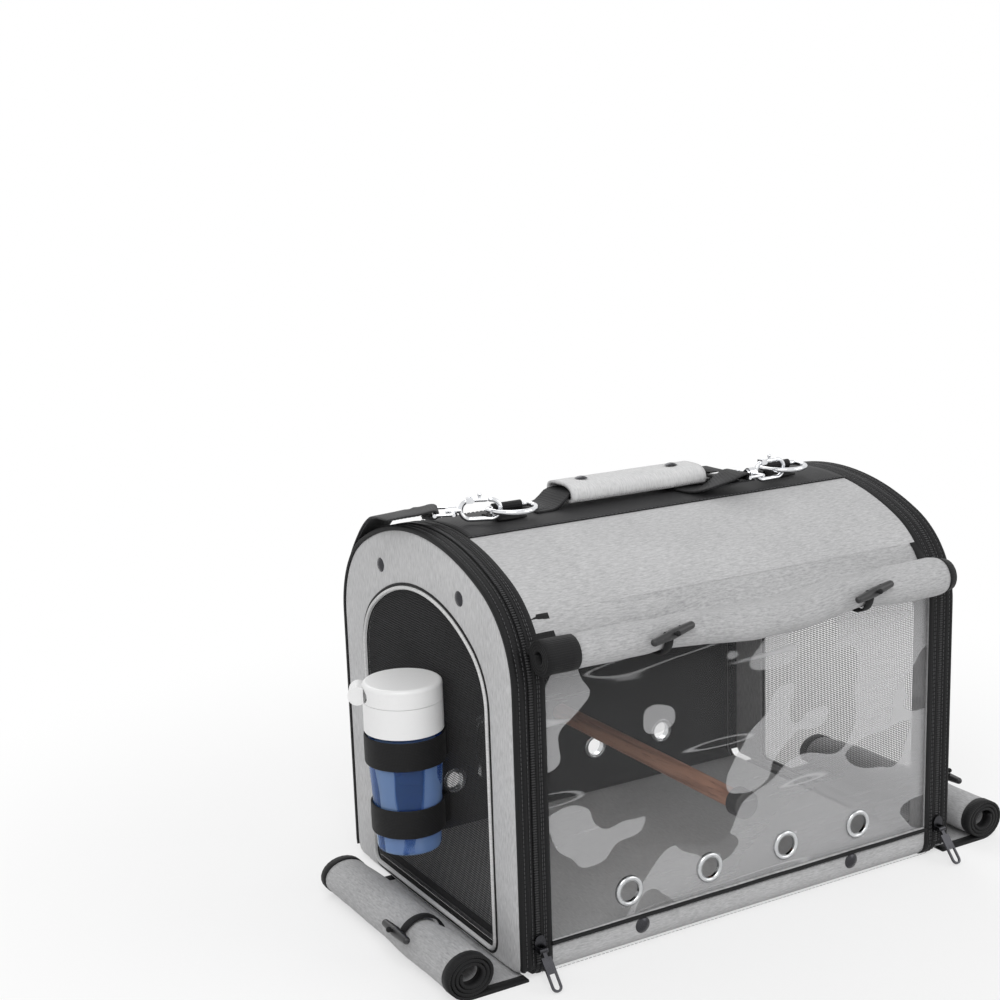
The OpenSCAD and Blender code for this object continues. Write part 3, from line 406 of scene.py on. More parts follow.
@dataclass(frozen=True)
class ClearFilm(Finish):
    """Clear vinyl with painted reflections of the room: broad flat patches of painted glare with crisp wavy
    edges.
    """

    clear_share: float = 0.022
    haze_share: float = 0.30

    def paint(self, graph: Graph) -> Sock:
        """A see-through sheet under patches of painted glare that stand for reflections, with a few fine
        bright creases.
        """
        # Painted glare: paler, less clear patches that stand for the room's reflections. They form a wide
        # leaning band and scattered islands.
        wide = graph.cloud(False, (8.5, 4, 13.5), 1.2, 0.35, (2.4, 0, 6.1))
        split = graph.tree.nodes.new("ShaderNodeSeparateXYZ")
        graph.feed(split.inputs[0], graph.place(False, (1, 1, 1)))
        x, z = Sock(graph, split.outputs[0]), Sock(graph, split.outputs[2])
        lean = x * 0.80 - z * 0.70 + 0.085
        glare_band = (wide + lean).ramp(0.506, 0.514)
        low = graph.cloud(False, (15, 4, 22), 1.0, 0.3, (8.1, 0, 1.3))
        glare_islands = low.ramp(0.640, 0.648)
        painted_glare = glare_band.most(glare_islands) * (1.0 - low.ramp(0.385, 0.377) * 0.9)
        tone = graph.cloud(False, (5, 4, 7), 1.0) * 0.5 + 0.75
        scuffs = graph.cloud(False, (26, 20, 520), 3.0).ramp(0.50, 0.85)
        crease = graph.cloud(False, (6, 4, 60), 0.5, 0.3, (1.3, 0, 4.4))
        lines = crease.ramp(0.655, 0.675) * (1.0 - crease.ramp(0.675, 0.690))
        weight = graph.tree.nodes.new("ShaderNodeLayerWeight")
        weight.inputs["Blend"].default_value = 0.22
        rim = Sock(graph, weight.outputs["Fresnel"])
        # The pale shader's share is made of painted glare with scuffs inside it, bright creases, a Fresnel
        # rim and a little everywhere.
        cover = painted_glare * tone * self.haze_share + painted_glare * scuffs * 0.05
        share = cover + lines * 0.22 + rim * 0.35 + self.clear_share
        gloss = graph.shader(
            Base_Color=(0.64, 0.64, 0.65), Roughness=0.16, Specular_IOR_Level=0.5,
            Normal=graph.bump(wide + low * 0.5, 0.002, 0.4))
        return graph.blend(share, graph.clear(), gloss)


@dataclass(frozen=True)
class TintedBottle(Finish):
    """Thin blue see-through plastic with bright edges."""

    tint: Colour = (0.09, 0.19, 0.40)

    def paint(self, graph: Graph) -> Sock:
        """A tinted see-through wall under a gloss."""
        cloud = graph.noise(graph.place(False, (1, 1, 0.25)), 55.0, 1.0, 0.3)
        facets = cloud.ramp(0.47, 0.50)
        rim = Sock(graph, graph.tree.nodes.new("ShaderNodeLayerWeight").outputs["Facing"])
        clear = graph.clear((0.42, 0.60, 0.90))
        share = (rim ** 2.0) * 0.40 + facets * 0.16 + 0.20
        gloss = graph.shader(
            Base_Color=graph.mix(facets, self.tint, (0.30, 0.46, 0.72)), Roughness=0.10,
            Specular_IOR_Level=0.8, Normal=graph.bump(cloud, 0.0015, 0.5))
        return graph.blend(share, clear, gloss)


@dataclass(frozen=True)
class TurnedWood(Finish):
    """A turned softwood dowel, stained brown, with its grain along Y."""

    pale: Colour = (0.60, 0.31, 0.205)
    dark: Colour = (0.25, 0.105, 0.068)

    def paint(self, graph: Graph) -> Sock:
        """Long grain, fine pores and rubbed rings."""
        grain = graph.cloud(False, (420, 16, 420), 4.0, 0.65)
        rings = graph.wave(graph.place(False, (40, 3, 46)), 1.0, "DIAGONAL", 5.0)
        pores = graph.cloud(False, (1800, 90, 1800)).ramp(0.58, 0.72)
        share = grain * 0.62 + rings * 0.24 + pores * 0.3
        return graph.shader(
            Base_Color=graph.mix(share.ramp(0.3, 0.85), self.pale, self.dark),
            Roughness=grain * 0.2 + 0.45, Normal=graph.bump(pores + grain * 0.4, 0.0003, 0.6))


@dataclass(frozen=True)
class PaleFloor(Finish):
    """A plain white floor that keeps a faint shadow where the camera and mirrors see it."""

    colour: Colour = (0.88, 0.88, 0.88)
    shadow: float = 0.42

    def paint(self, graph: Graph) -> Sock:
        """White with a barely uneven shade, lifted toward plain white for what looks at it."""
        cloud = graph.noise(graph.place(False, (1, 1, 1)), 2.0, 2.0)
        shade = tuple(c * 0.99 for c in self.colour)
        matt = graph.shader(Base_Color=graph.mix(cloud, self.colour, shade), Roughness=0.9,
                            Specular_IOR_Level=0.1)
        plain = graph.tree.nodes.new("ShaderNodeEmission")
        plain.inputs["Strength"].default_value = 1.0
        length = graph.tree.nodes.new("ShaderNodeVectorMath")
        length.operation = "LENGTH"
        graph.feed(length.inputs[0], graph.place(False, (1, 1, 1)))
        far = Sock(graph, length.outputs["Value"]).ramp(0.35, 0.75)
        looks = graph.ray("Is Camera Ray").most(graph.ray("Is Glossy Ray")).most(
            graph.ray("Is Transmission Ray"))
        share = (far * self.shadow + (1.0 - self.shadow)) * looks
        return graph.blend(share, matt, Sock(graph, plain.outputs[0]))


GREY = HeatherCloth("grey_heather_cloth", "grey_fabric")
# A darker copy of the grey cloth for the rolled covers. This is painted shade, since the rolls are the same
# cloth as the body.
GREY_ROLLED_PAINTED_SHADE = HeatherCloth("grey_heather_cloth_rolled", "grey_fabric", pale=(0.50, 0.50, 0.505),
                           dark=(0.28, 0.28, 0.285))
# A brighter copy of the grey cloth for the upright door borders, with its grain along the panel. The
# brightness is painted light that makes up for the light upright faces get less of.
GREY_UP_PAINTED_LIGHT = HeatherCloth("grey_heather_cloth_upright", "grey_fabric", pale=(0.64, 0.64, 0.645),
                       dark=(0.40, 0.40, 0.405), grain=Grain.ALONG)
PALE = HeatherCloth("pale_cloth", "pale_fabric", pale=(0.70, 0.70, 0.70), dark=(0.50, 0.50, 0.505))
PIPE = HeatherCloth("pale_piping_cloth", "pale_fabric", pale=(0.74, 0.74, 0.74), dark=(0.52, 0.52, 0.52))
BLACK = BlackWebbing("black_tape", "black_fabric")
WEBBING = BlackWebbing("black_webbing", "black_fabric", colour=(0.016, 0.016, 0.017), rib=0.0024,
                       edge=(0.042, 0.042, 0.044))
ELASTIC = BlackWebbing("black_elastic", "black_fabric", rib=0.0011, edge=(0.022, 0.022, 0.023))
LINING = BlackWebbing("black_lining_cloth", "black_fabric", colour=(0.007, 0.007, 0.008), rib=0.0009,
                      edge=(0.014, 0.014, 0.015))
NET = Yarn("net_yarn", "black_fabric", colour=(0.022, 0.022, 0.023), rough=0.55)
TEETH = Yarn("zip_teeth", "black_fabric", colour=(0.018, 0.018, 0.019), rough=0.35)
DARK_THREAD = Yarn("dark_thread", "black_fabric", colour=(0.05, 0.05, 0.052))
GREY_THREAD = Yarn("grey_thread", "grey_fabric", colour=(0.27, 0.27, 0.275))
PLASTIC = Moulded("black_moulding", "black_plastic")
RUBBER = Moulded("black_rubber", "rubber", colour=(0.022, 0.021, 0.021), rough=0.6, grain=0.0001)
WHITE = Moulded("white_moulding", "white_plastic", colour=(0.82, 0.82, 0.82), rough=0.30, scuff=0.4)
CHROME = BrightMetal("bright_plate", "metal", rough=0.13)
STEEL = BrightMetal("pressed_steel", "metal", colour=(0.60, 0.61, 0.62), rough=0.24)
DARK_METAL = BrightMetal("black_plate", "dark_metal", colour=(0.055, 0.055, 0.06), rough=0.26)
FILM = ClearFilm("clear_vinyl", "clear_film")
BLUE = TintedBottle("blue_bottle", "bottle_plastic")
WOOD = TurnedWood("stained_dowel", "rod_wood")
BOARD = Moulded("stiff_board", "board", colour=(0.02, 0.02, 0.02), rough=0.7)


@dataclass(frozen=True)
class Station:
    """A place on an arched outline: depth, height, outward normal and distance walked."""

    y: float
    z: float
    ny: float
    nz: float
    s: float

    def at(self, x: float, out: float) -> Vector:
        """The point that lies out from the outline at a place along the carrier."""
        return Vector((x, self.y + self.ny * out, self.z + self.nz * out))


@dataclass(frozen=True)
class Section:
    """The arched section of the body or of the net, in millimetres."""

    half: float
    top: float
    rise: float
    shoulder: float
    floor: float
    foot: float

    @property
    def crown(self) -> float:
        """Radius of the wide arc along the top."""
        return (self.half**2 + self.rise**2 - 2 * self.half * self.shoulder) / (
            2 * (self.rise - self.shoulder))

    @property
    def lean(self) -> float:
        """Angle from the top to where the crown meets the shoulder, in radians."""
        return math.atan((self.half - self.shoulder) / (self.crown - self.rise))

    @property
    def spring(self) -> float:
        """Height where the arch begins."""
        return self.top - self.rise

    def flank(self, z: float) -> float:
        """Half depth of the section at a height on its wall or shoulder."""
        if z <= self.spring:
            return self.half
        return self.half - self.shoulder + math.sqrt(self.shoulder**2 - (z - self.spring) ** 2)

    def walk(self, step: float, marks: Sequence[float] = (), closed: bool = True,
             counts: Sequence[int] | None = None) -> list[Station]:
        """Walks the outline from the window side's wall over the top to the back and the floor.

        Args:
            step: Distance between places.
            marks: Heights on the window side that get a place of their own.
            closed: Whether the feet and the floor are walked as well.
            counts: Number of steps of each stretch, in place of the step.

        Returns:
            The places in order. The first isn't repeated at the end.
        """
        up = math.pi / 2
        arcs = [
            (-(self.half - self.shoulder), self.spring, self.shoulder, math.pi, up + self.lean),
            (0.0, self.top - self.crown, self.crown, up + self.lean, up - self.lean),
            (self.half - self.shoulder, self.spring, self.shoulder, up - self.lean, 0.0)]
        low = self.floor + self.foot
        stretches: list[Callable[[float], tuple[float, float, float, float]]] = []
        lengths: list[float] = []

        def line(a: Sequence[float], b: Sequence[float], n: Sequence[float]) -> None:
            """Adds a straight stretch with its normal."""
            stretches.append(lambda t: (a[0] + (b[0] - a[0]) * t, a[1] + (b[1] - a[1]) * t, n[0], n[1]))
            lengths.append(math.hypot(b[0] - a[0], b[1] - a[1]))

        def arc(cy: float, cz: float, r: float, a: float, b: float) -> None:
            """Adds a round stretch between two angles."""
            stretches.append(lambda t: (
                cy + r * math.cos(a + (b - a) * t), cz + r * math.sin(a + (b - a) * t),
                math.cos(a + (b - a) * t), math.sin(a + (b - a) * t)))
            lengths.append(abs(b - a) * r)

        line((-self.half, low), (-self.half, self.spring), (-1, 0))
        for item in arcs:
            arc(*item)
        line((self.half, self.spring), (self.half, low), (1, 0))
        if closed:
            inner = self.half - self.foot
            arc(inner, low, self.foot, 0.0, -up)
            line((inner, self.floor), (-inner, self.floor), (0, -1))
            arc(-inner, low, self.foot, -up, -math.pi)
        places: list[Station] = []
        walked = 0.0
        for i, (at, length) in enumerate(zip(stretches, lengths)):
            n = counts[i] if counts else max(2, round(length / step))
            shares = {k / n for k in range(n)}
            if i == 0:
                shares |= {(m - low) / (self.spring - low) for m in marks if low < m < self.spring}
            if i == 1:
                lifts = [(m - self.spring) / self.shoulder for m in marks if m > self.spring]
                shares |= {math.asin(v) / (up - self.lean) for v in lifts}
            for t in sorted(shares):
                places.append(Station(*at(t), walked + length * t))
            walked += length
        if not closed:
            places.append(Station(*stretches[-1](1.0), walked))
        return places


@dataclass
class Form:
    """Points in millimetres with faces, map places and finish numbers, until they become a mesh."""

    points: list[Vector] = field(default_factory=list)
    faces: list[tuple[int, ...]] = field(default_factory=list)
    maps: list[tuple[tuple[float, float], ...]] = field(default_factory=list)
    kinds: list[int] = field(default_factory=list)

    def grid(self, rows: Sequence[Row], kind: int = 0, round_u: bool = False, round_v: bool = False,
             keep: Callable[[Vector], bool] | None = None, flip: bool = False,
             uv: Callable[[int, int], tuple[float, float]] | None = None) -> "Form":
        """Adds a sheet through rows of points.

        Args:
            rows: Rows of the same number of points.
            kind: The number of the finish.
            round_u: Whether each row closes on itself.
            round_v: Whether the last row joins the first.
            keep: Tells from a face's middle whether the face is kept.
            flip: Whether the faces look the other way.
            uv: The map's place of a point by row and column, in millimetres.

        Returns:
            This form.
        """
        base, wide = len(self.points), len(rows[0])
        for row in rows:
            self.points.extend(row)
        if uv is None:
            across = [0.0]
            for a, b in zip(rows[0], list(rows[0][1:]) + [rows[0][0]]):
                across.append(across[-1] + (b - a).length)
            along = [0.0]
            for a, b in zip(rows, list(rows[1:]) + [rows[0]]):
                along.append(along[-1] + (b[0] - a[0]).length)

            def uv(i: int, j: int) -> tuple[float, float]:
                return across[j], along[i]

        for i in range(len(rows) - (0 if round_v else 1)):
            for j in range(wide - (0 if round_u else 1)):
                corners = [(i, j), (i, j + 1), (i + 1, j + 1), (i + 1, j)]
                ids = [base + (a % len(rows)) * wide + b % wide for a, b in corners]
                places = [uv(a, b) for a, b in corners]
                if keep is not None and not keep(sum((self.points[k] for k in ids), Vector()) / 4):
                    continue
                if flip:
                    ids.reverse()
                    places.reverse()
                self.faces.append(tuple(ids))
                self.maps.append(tuple((u * MM, v * MM) for u, v in places))
                self.kinds.append(kind)
        return self

    def bar(self, rows: Sequence[Row],
            uv: Callable[[int, int], tuple[float, float]] | None = None) -> "Form":
        """Adds a bar through rings of points, closed at both ends."""
        return self.grid(rows, round_u=True, uv=uv).cap(rows[0], flip=True).cap(rows[-1])

    def cap(self, ring: Row, kind: int = 0, flip: bool = False) -> "Form":
        """Closes a ring of points with one face."""
        base = len(self.points)
        self.points.extend(ring)
        ids = list(range(base, base + len(ring)))
        middle = sum(ring, Vector()) / len(ring)
        axis = (ring[1] - ring[0]).normalized()
        other = (ring[1] - middle).cross(axis).cross(axis).normalized()
        places = [((p - middle).dot(axis) * MM, (p - middle).dot(other) * MM) for p in ring]
        if flip:
            ids.reverse()
            places.reverse()
        self.faces.append(tuple(ids))
        self.maps.append(tuple(places))
        self.kinds.append(kind)
        return self

    def tube(self, path: Sequence[Vector], radius: float | Callable[[float], float], sides: int = 10,
             closed: bool = False, kind: int = 0, flat: float = 1.0) -> "Form":
        """Adds a round or flattened tube along a path.

        Args:
            path: The points that it follows.
            radius: The radius, or a function of the share of the length.
            sides: Number of sides.
            closed: Whether the path is a ring.
            kind: The number of the finish.
            flat: Height of the section as a share of its width.

        Returns:
            This form.
        """
        n = len(path)
        size = radius if callable(radius) else (lambda t: radius)
        ahead = [(path[(i + 1) % n if closed else min(i + 1, n - 1)]
                  - path[(i - 1) % n if closed else max(i - 1, 0)]).normalized() for i in range(n)]
        up = Vector((0, 0, 1)) if abs(ahead[0].z) < 0.9 else Vector((1, 0, 0))
        rows: list[Row] = []
        side = ahead[0].cross(up).normalized()
        for i in range(n):
            side = (side - ahead[i] * side.dot(ahead[i])).normalized()
            lift = side.cross(ahead[i]).normalized()
            r = size(i / max(n - 1, 1))
            rows.append([path[i] + side * (r * math.cos(a)) + lift * (r * flat * math.sin(a))
                         for a in (2 * math.pi * k / sides for k in range(sides))])
        self.grid(rows, kind, round_u=True, round_v=closed)
        if not closed:
            self.cap(rows[0], kind, flip=True)
            self.cap(rows[-1], kind)
        return self

    def mesh(self, name: str, finishes: Sequence[Finish], sharp: float = 40.0) -> bpy.types.Object:
        """Makes a Blender object in metres.

        Args:
            name: The object's name.
            finishes: The finishes that the kinds number.
            sharp: Edges bent by more than this angle in degrees stay sharp.

        Returns:
            The object, linked to the scene.
        """
        data = bpy.data.meshes.new(name)
        data.from_pydata([tuple(p * MM) for p in self.points], [], self.faces)
        layer = data.uv_layers.new(name="Cut")
        data.polygons.foreach_set("material_index", self.kinds)
        flat = [c for face in self.maps for place in face for c in place]
        layer.data.foreach_set("uv", flat)
        for finish in finishes:
            data.materials.append(finish.material())
        clean = bmesh.new()
        clean.from_mesh(data)
        bmesh.ops.remove_doubles(clean, verts=clean.verts, dist=0.00002)
        bmesh.ops.recalc_face_normals(clean, faces=clean.faces)
        clean.to_mesh(data)
        clean.free()
        data.shade_smooth()
        data.set_sharp_from_angle(angle=math.radians(sharp))
        return add(name, data)


def settle(obj: bpy.types.Object) -> bpy.types.Object:
    """Turns an object with modifiers into a plain mesh of what they make."""
    graph = bpy.context.evaluated_depsgraph_get()
    graph.update()
    data = bpy.data.meshes.new_from_object(obj.evaluated_get(graph), depsgraph=graph)
    old = obj.data
    obj.modifiers.clear()
    obj.data = data
    data.name = obj.name
    if isinstance(old, bpy.types.Mesh) and old.users == 0:
        bpy.data.meshes.remove(old)
    return obj


def thicken(obj: bpy.types.Object, depth: float, offset: float = -1.0) -> bpy.types.Object:
    """Gives a sheet its thickness in millimetres; an offset of -1 goes in from the surface."""
    made = obj.modifiers.new("thickness", "SOLIDIFY")
    made.thickness = depth * MM
    made.offset = offset
    made.use_even_offset = True
    made.use_quality_normals = True
    return settle(obj)


def pierce(obj: bpy.types.Object, places: Sequence[Vector], radius: float,
           reach: float) -> bpy.types.Object:
    """Cuts round holes along Y through a piece.

    Args:
        obj: The piece.
        places: The middles of the holes, in millimetres.
        radius: Their radius.
        reach: How far the cut reaches to each side.

    Returns:
        The piece.
    """
    form = Form()
    for p in places:
        form.tube([p - Vector((0, reach, 0)), p + Vector((0, reach, 0))], radius, 28)
    cutter = form.mesh("hole_cutter", [BLACK])
    made = obj.modifiers.new("holes", "BOOLEAN")
    made.object = cutter
    made.solver = "EXACT"
    settle(obj)
    data = cutter.data
    bpy.data.objects.remove(cutter)
    bpy.data.meshes.remove(data)
    return obj


class Pattern:
    """Geometry Nodes trees that set small parts along lines, or turn lines into strands."""

    def __init__(self, name: str) -> None:
        """Starts a tree with a geometry in and out.

        Args:
            name: The tree's name.
        """
        self.tree = bpy.data.node_groups.new(name, "GeometryNodeTree")
        self.tree.interface.new_socket("Geometry", in_out="INPUT", socket_type="NodeSocketGeometry")
        self.tree.interface.new_socket("Geometry", in_out="OUTPUT", socket_type="NodeSocketGeometry")
        self.start = self.tree.nodes.new("NodeGroupInput")
        self.end = self.tree.nodes.new("NodeGroupOutput")

    def size(self, name: str, value: float) -> str:
        """Adds a named input for a size and returns its identifier."""
        socket = self.tree.interface.new_socket(name, in_out="INPUT", socket_type="NodeSocketFloat")
        socket.default_value = value
        return socket.identifier

    def node(self, kind: str, **links: object) -> bpy.types.Node:
        """Adds a node; a link is a socket of another node or a plain value."""
        made = self.tree.nodes.new(kind)
        for name, value in links.items():
            socket = made.inputs[name.replace("_", " ")]
            if isinstance(value, bpy.types.NodeSocket):
                self.tree.links.new(value, socket)
            else:
                socket.default_value = value
        return made

    def close(self, geometry: bpy.types.NodeSocket, material: bpy.types.Material) -> None:
        """Ends the tree in realised geometry with its material."""
        real = self.node("GeometryNodeRealizeInstances", Geometry=geometry)
        done = self.node("GeometryNodeSetMaterial", Geometry=real.outputs[0])
        done.inputs["Material"].default_value = material
        self.tree.links.new(done.outputs[0], self.end.inputs[0])

    def run(self, name: str, lines: Sequence[Sequence[Vector]],
            sizes: dict[str, float]) -> bpy.types.Object:
        """Runs the tree on lines and keeps the result as a plain mesh.

        Args:
            name: The new object's name.
            lines: The lines, in millimetres.
            sizes: A size for each input's identifier, in metres.

        Returns:
            The object.
        """
        points: list[tuple[float, ...]] = []
        edges: list[tuple[int, int]] = []
        for one in lines:
            base = len(points)
            points += [tuple(p * MM) for p in one]
            edges += [(base + i, base + i + 1) for i in range(len(one) - 1)]
        data = bpy.data.meshes.new(name)
        data.from_pydata(points, edges, [])
        obj = add(name, data)
        made = obj.modifiers.new("pattern", "NODES")
        made.node_group = self.tree
        for key, value in sizes.items():
            made[key] = value
        settle(obj)
        obj.data.shade_smooth()
        return obj


class Beads(Pattern):
    """Small rounded bars set along lines: stitches along them, or zip teeth across them."""

    def __init__(self, name: str, finish: Finish, across: bool) -> None:
        """Builds the tree.

        Args:
            name: The tree's name.
            finish: The finish of the bars.
            across: True for bars that lie along X, across a line at a fixed place along the carrier.
        """
        super().__init__(name)
        self.finish = finish
        self.length = self.size("Length", 0.003)
        self.radius = self.size("Radius", 0.0004)
        self.pitch = self.size("Pitch", 0.004)
        sizes = {s.name: s for s in self.start.outputs}
        curve = self.node("GeometryNodeMeshToCurve", Mesh=self.start.outputs[0])
        spots = self.node("GeometryNodeCurveToPoints", Curve=curve.outputs[0])
        spots.mode = "LENGTH"
        self.tree.links.new(sizes["Pitch"], spots.inputs["Length"])
        bar = self.node("GeometryNodeMeshCylinder", Radius=sizes["Radius"], Depth=sizes["Length"])
        bar.inputs["Vertices"].default_value = 6
        bar.fill_type = "TRIANGLE_FAN"
        on = self.node("GeometryNodeInstanceOnPoints", Points=spots.outputs["Points"],
                       Instance=bar.outputs["Mesh"])
        if across:
            on.inputs["Rotation"].default_value = (0, math.pi / 2, 0)
        else:
            turn = self.node("FunctionNodeAlignRotationToVector")
            turn.axis = "Z"
            self.tree.links.new(spots.outputs["Tangent"], turn.inputs["Vector"])
            self.tree.links.new(turn.outputs[0], on.inputs["Rotation"])
        self.close(on.outputs[0], finish.material())

    def sew(self, name: str, body: str, lines: Sequence[Sequence[Vector]], length: float, radius: float,
            pitch: float) -> None:
        """Sets bars along lines as a piece of its own on a body, with sizes in millimetres."""
        sizes = {self.length: length * MM, self.radius: radius * MM, self.pitch: pitch * MM}
        belong(self.run(name, lines, sizes), body, self.finish)


class Strands(Pattern):
    """Turns lines into strands of a net."""

    def __init__(self, name: str, finish: Finish) -> None:
        """Builds the tree with the finish of the strands."""
        super().__init__(name)
        self.radius = self.size("Radius", 0.0004)
        sizes = {s.name: s for s in self.start.outputs}
        curve = self.node("GeometryNodeMeshToCurve", Mesh=self.start.outputs[0])
        ring = self.node("GeometryNodeCurvePrimitiveCircle", Radius=sizes["Radius"])
        ring.inputs["Resolution"].default_value = 4
        strand = self.node("GeometryNodeCurveToMesh", Curve=curve.outputs[0],
                           Profile_Curve=ring.outputs[0])
        self.close(strand.outputs[0], finish.material())

    def spin(self, name: str, lines: Sequence[Sequence[Vector]], radius: float) -> bpy.types.Object:
        """Makes the strands, with sizes in millimetres."""
        return self.run(name, lines, {self.radius: radius * MM})


def belong(obj: bpy.types.Object, body: str, finish: Finish, *nodes: str) -> bpy.types.Object:
    """Puts a piece on its body and hides the CAD nodes that it stands for.

    Args:
        obj: The piece.
        body: The body that it rides on.
        finish: Not used.
        nodes: The CAD nodes that it replaces.

    Returns:
        The piece.
    """
    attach(obj, body)
    if nodes:
        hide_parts(*nodes)
    log.info("%s: %d faces, on %s", obj.name, len(obj.data.polygons), body)
    return obj


def dress(finish: Finish, *nodes: str) -> None:
    """Gives CAD nodes whose shape is right a better material."""
    for name in nodes:
        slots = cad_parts[name].material_slots
        for spot in slots:
            spot.material = finish.material()
        log.info("%s: dressed in %s", name, finish.name)


OUTER = Section(135, 300, 90, 75, 0, 12)
MESH = Section(97, 254, 66, 50, 8, 8)
ROOT = "carrier"
EYELET_X = (-108.0, -36.0, 36.0, 108.0)
EYELET_Z = 44.0
EYELET_HOLE, FILM_HOLE = 9.0, 8.8
STUD_Y, STUD_Z = 62.0, 262.0
SILL_X = (189.2, 196.3)
SILL_Y = range(-111, 112, 6)
RING_X = 128.0
HOOK_Y, HOOK_Z = -16.0, 311.3
HOOK_REACH = 18.0
HOOK_SWING = math.radians(35)
TAPE_X = 176.0
THREAD_LIFT = 0.1
STRIP_EDGE = (42.0, 62.0)
BACK_FREE, FRONT_FREE = (30.0, 70.0), (250.0, 264.0)
DENT_MEAN, DENT_WIDE, DENT_FINE = 0.8, 0.9, 0.45
TOGGLE_LONG = 2 * 3.8 + 0.8


def slack(x: float, y: float, z: float) -> float:
    """How far out the taut cloth of the body lies at a place, in millimetres; 0 or less."""
    ends = smooth(TAPE_X - abs(x), 0, 30)
    wall = smooth(z, *(BACK_FREE if y > 0 else FRONT_FREE))
    strip = smooth(abs(y), *STRIP_EDGE)
    dent = DENT_MEAN + DENT_WIDE * ripple(x, y, z, 70) + DENT_FINE * ripple(x, y, z, 28, 3.1)
    return -max(dent, 0.0) * ends * wall * strip


@dataclass
class Camera:
    """The camera at the photograph's place, fitted from the picture."""

    place: tuple[float, float, float] = (-727.5, -1046.7, 562.5)
    azimuth: float = -29.13
    elevation: float = 12.42
    roll: float = -2.11
    lens: float = 59.27
    shift: tuple[float, float] = (0.0173, 0.0218)

    def build(self) -> None:
        """Makes the scene's camera."""
        data = bpy.data.cameras.new("camera")
        data.lens = self.lens
        data.sensor_width = 36.0
        data.shift_x, data.shift_y = self.shift
        data.clip_start, data.clip_end = 0.05, 50.0
        obj = add("camera", data)
        a, e, r = (math.radians(v) for v in (self.azimuth, self.elevation, self.roll))
        back = Vector((math.sin(a) * math.cos(e), -math.cos(a) * math.cos(e), math.sin(e)))
        right = (-back).cross(Vector((0, 0, 1))).normalized()
        up = right.cross(-back)
        right, up = right * math.cos(r) + up * math.sin(r), up * math.cos(r) - right * math.sin(r)
        turn = Matrix((right, up, back)).transposed().to_4x4()
        obj.matrix_world = Matrix.Translation(Vector(self.place) * MM) @ turn
        bpy.context.scene.camera = obj


@dataclass
class Studio:
    """A white floor and plain soft light."""

    floor_half: float = 6.0
    sky: float = 0.62

    def build(self) -> None:
        """Makes the floor, the lamps and the world."""
        h = self.floor_half
        data = bpy.data.meshes.new("studio_floor")
        data.from_pydata([(-h, -h, 0), (h, -h, 0), (h, h, 0), (-h, h, 0)], [], [(0, 1, 2, 3)])
        data.materials.append(PaleFloor("studio_floor", "floor").material())
        floor = add("studio_floor", data)
        self.lamp("key", (-1.1, -1.5, 2.1), 1.5, 26.0)
        self.lamp("fill", (1.7, -1.6, 1.3), 1.6, 13.0)
        self.lamp("rim", (0.4, 1.9, 1.9), 1.6, 14.0)
        self.world()

    def lamp(self, name: str, place: Sequence[float], size: float, power: float) -> None:
        """Adds one square soft lamp that looks at the carrier."""
        data = bpy.data.lights.new(name, "AREA")
        data.size = size
        data.energy = power
        obj = add(name, data)
        obj.location = place
        obj.rotation_mode = "QUATERNION"
        obj.rotation_quaternion = (Vector((0, 0, 0.15)) - Vector(place)).to_track_quat("-Z", "Y")

    def world(self) -> None:
        """A soft white sky that shows as plain white."""
        world = bpy.data.worlds.new("studio")
        bpy.context.scene.world = world
        world.use_nodes = True
        tree = world.node_tree
        tree.nodes.clear()
        path = tree.nodes.new("ShaderNodeLightPath")
        seen = tree.nodes.new("ShaderNodeMath")
        seen.operation = "MAXIMUM"
        tree.links.new(path.outputs["Is Camera Ray"], seen.inputs[0])
        tree.links.new(path.outputs["Is Glossy Ray"], seen.inputs[1])
        light, plain = (tree.nodes.new("ShaderNodeBackground") for _ in range(2))
        light.inputs["Color"].default_value = (1, 1, 1, 1)
        light.inputs["Strength"].default_value = self.sky
        plain.inputs["Color"].default_value = (1, 1, 1, 1)
        plain.inputs["Strength"].default_value = 1.0
        mixed = tree.nodes.new("ShaderNodeMixShader")
        out = tree.nodes.new("ShaderNodeOutputWorld")
        tree.links.new(seen.outputs[0], mixed.inputs[0])
        tree.links.new(light.outputs[0], mixed.inputs[1])
        tree.links.new(plain.outputs[0], mixed.inputs[2])
        tree.links.new(mixed.outputs[0], out.inputs[0])


@dataclass
class Hooks:
    """The snap hooks, their swivels and the D-rings that they hang on."""

    left_at: tuple[float, float, float] = (-RING_X - HOOK_REACH, HOOK_Y, HOOK_Z)
    right_at: tuple[float, float, float] = (
        RING_X - HOOK_REACH * math.cos(HOOK_SWING), HOOK_Y - HOOK_REACH * math.sin(HOOK_SWING), HOOK_Z)
    left_turn: float = 155.0
    right_turn: float = 184.0

    def point(self, side: Side, u: float, v: float) -> tuple[Vector, Vector]:
        """A place u along the hook's line and v above it, with the direction across it."""
        at, turn = (self.left_at, self.left_turn) if side is Side.LEFT else (self.right_at, self.right_turn)
        t = math.radians(turn)
        return (Vector(at) + Vector((u * math.cos(t), u * math.sin(t), v)),
                Vector((math.sin(t), -math.cos(t), 0)) * -side.value)

    def build(self) -> None:
        """Dresses the metal."""
        dress(CHROME, "left_d_ring", "right_d_ring", "left_snap_hook", "right_snap_hook",
              "left_hook_gate", "right_hook_gate", "left_hook_swivel", "right_hook_swivel")


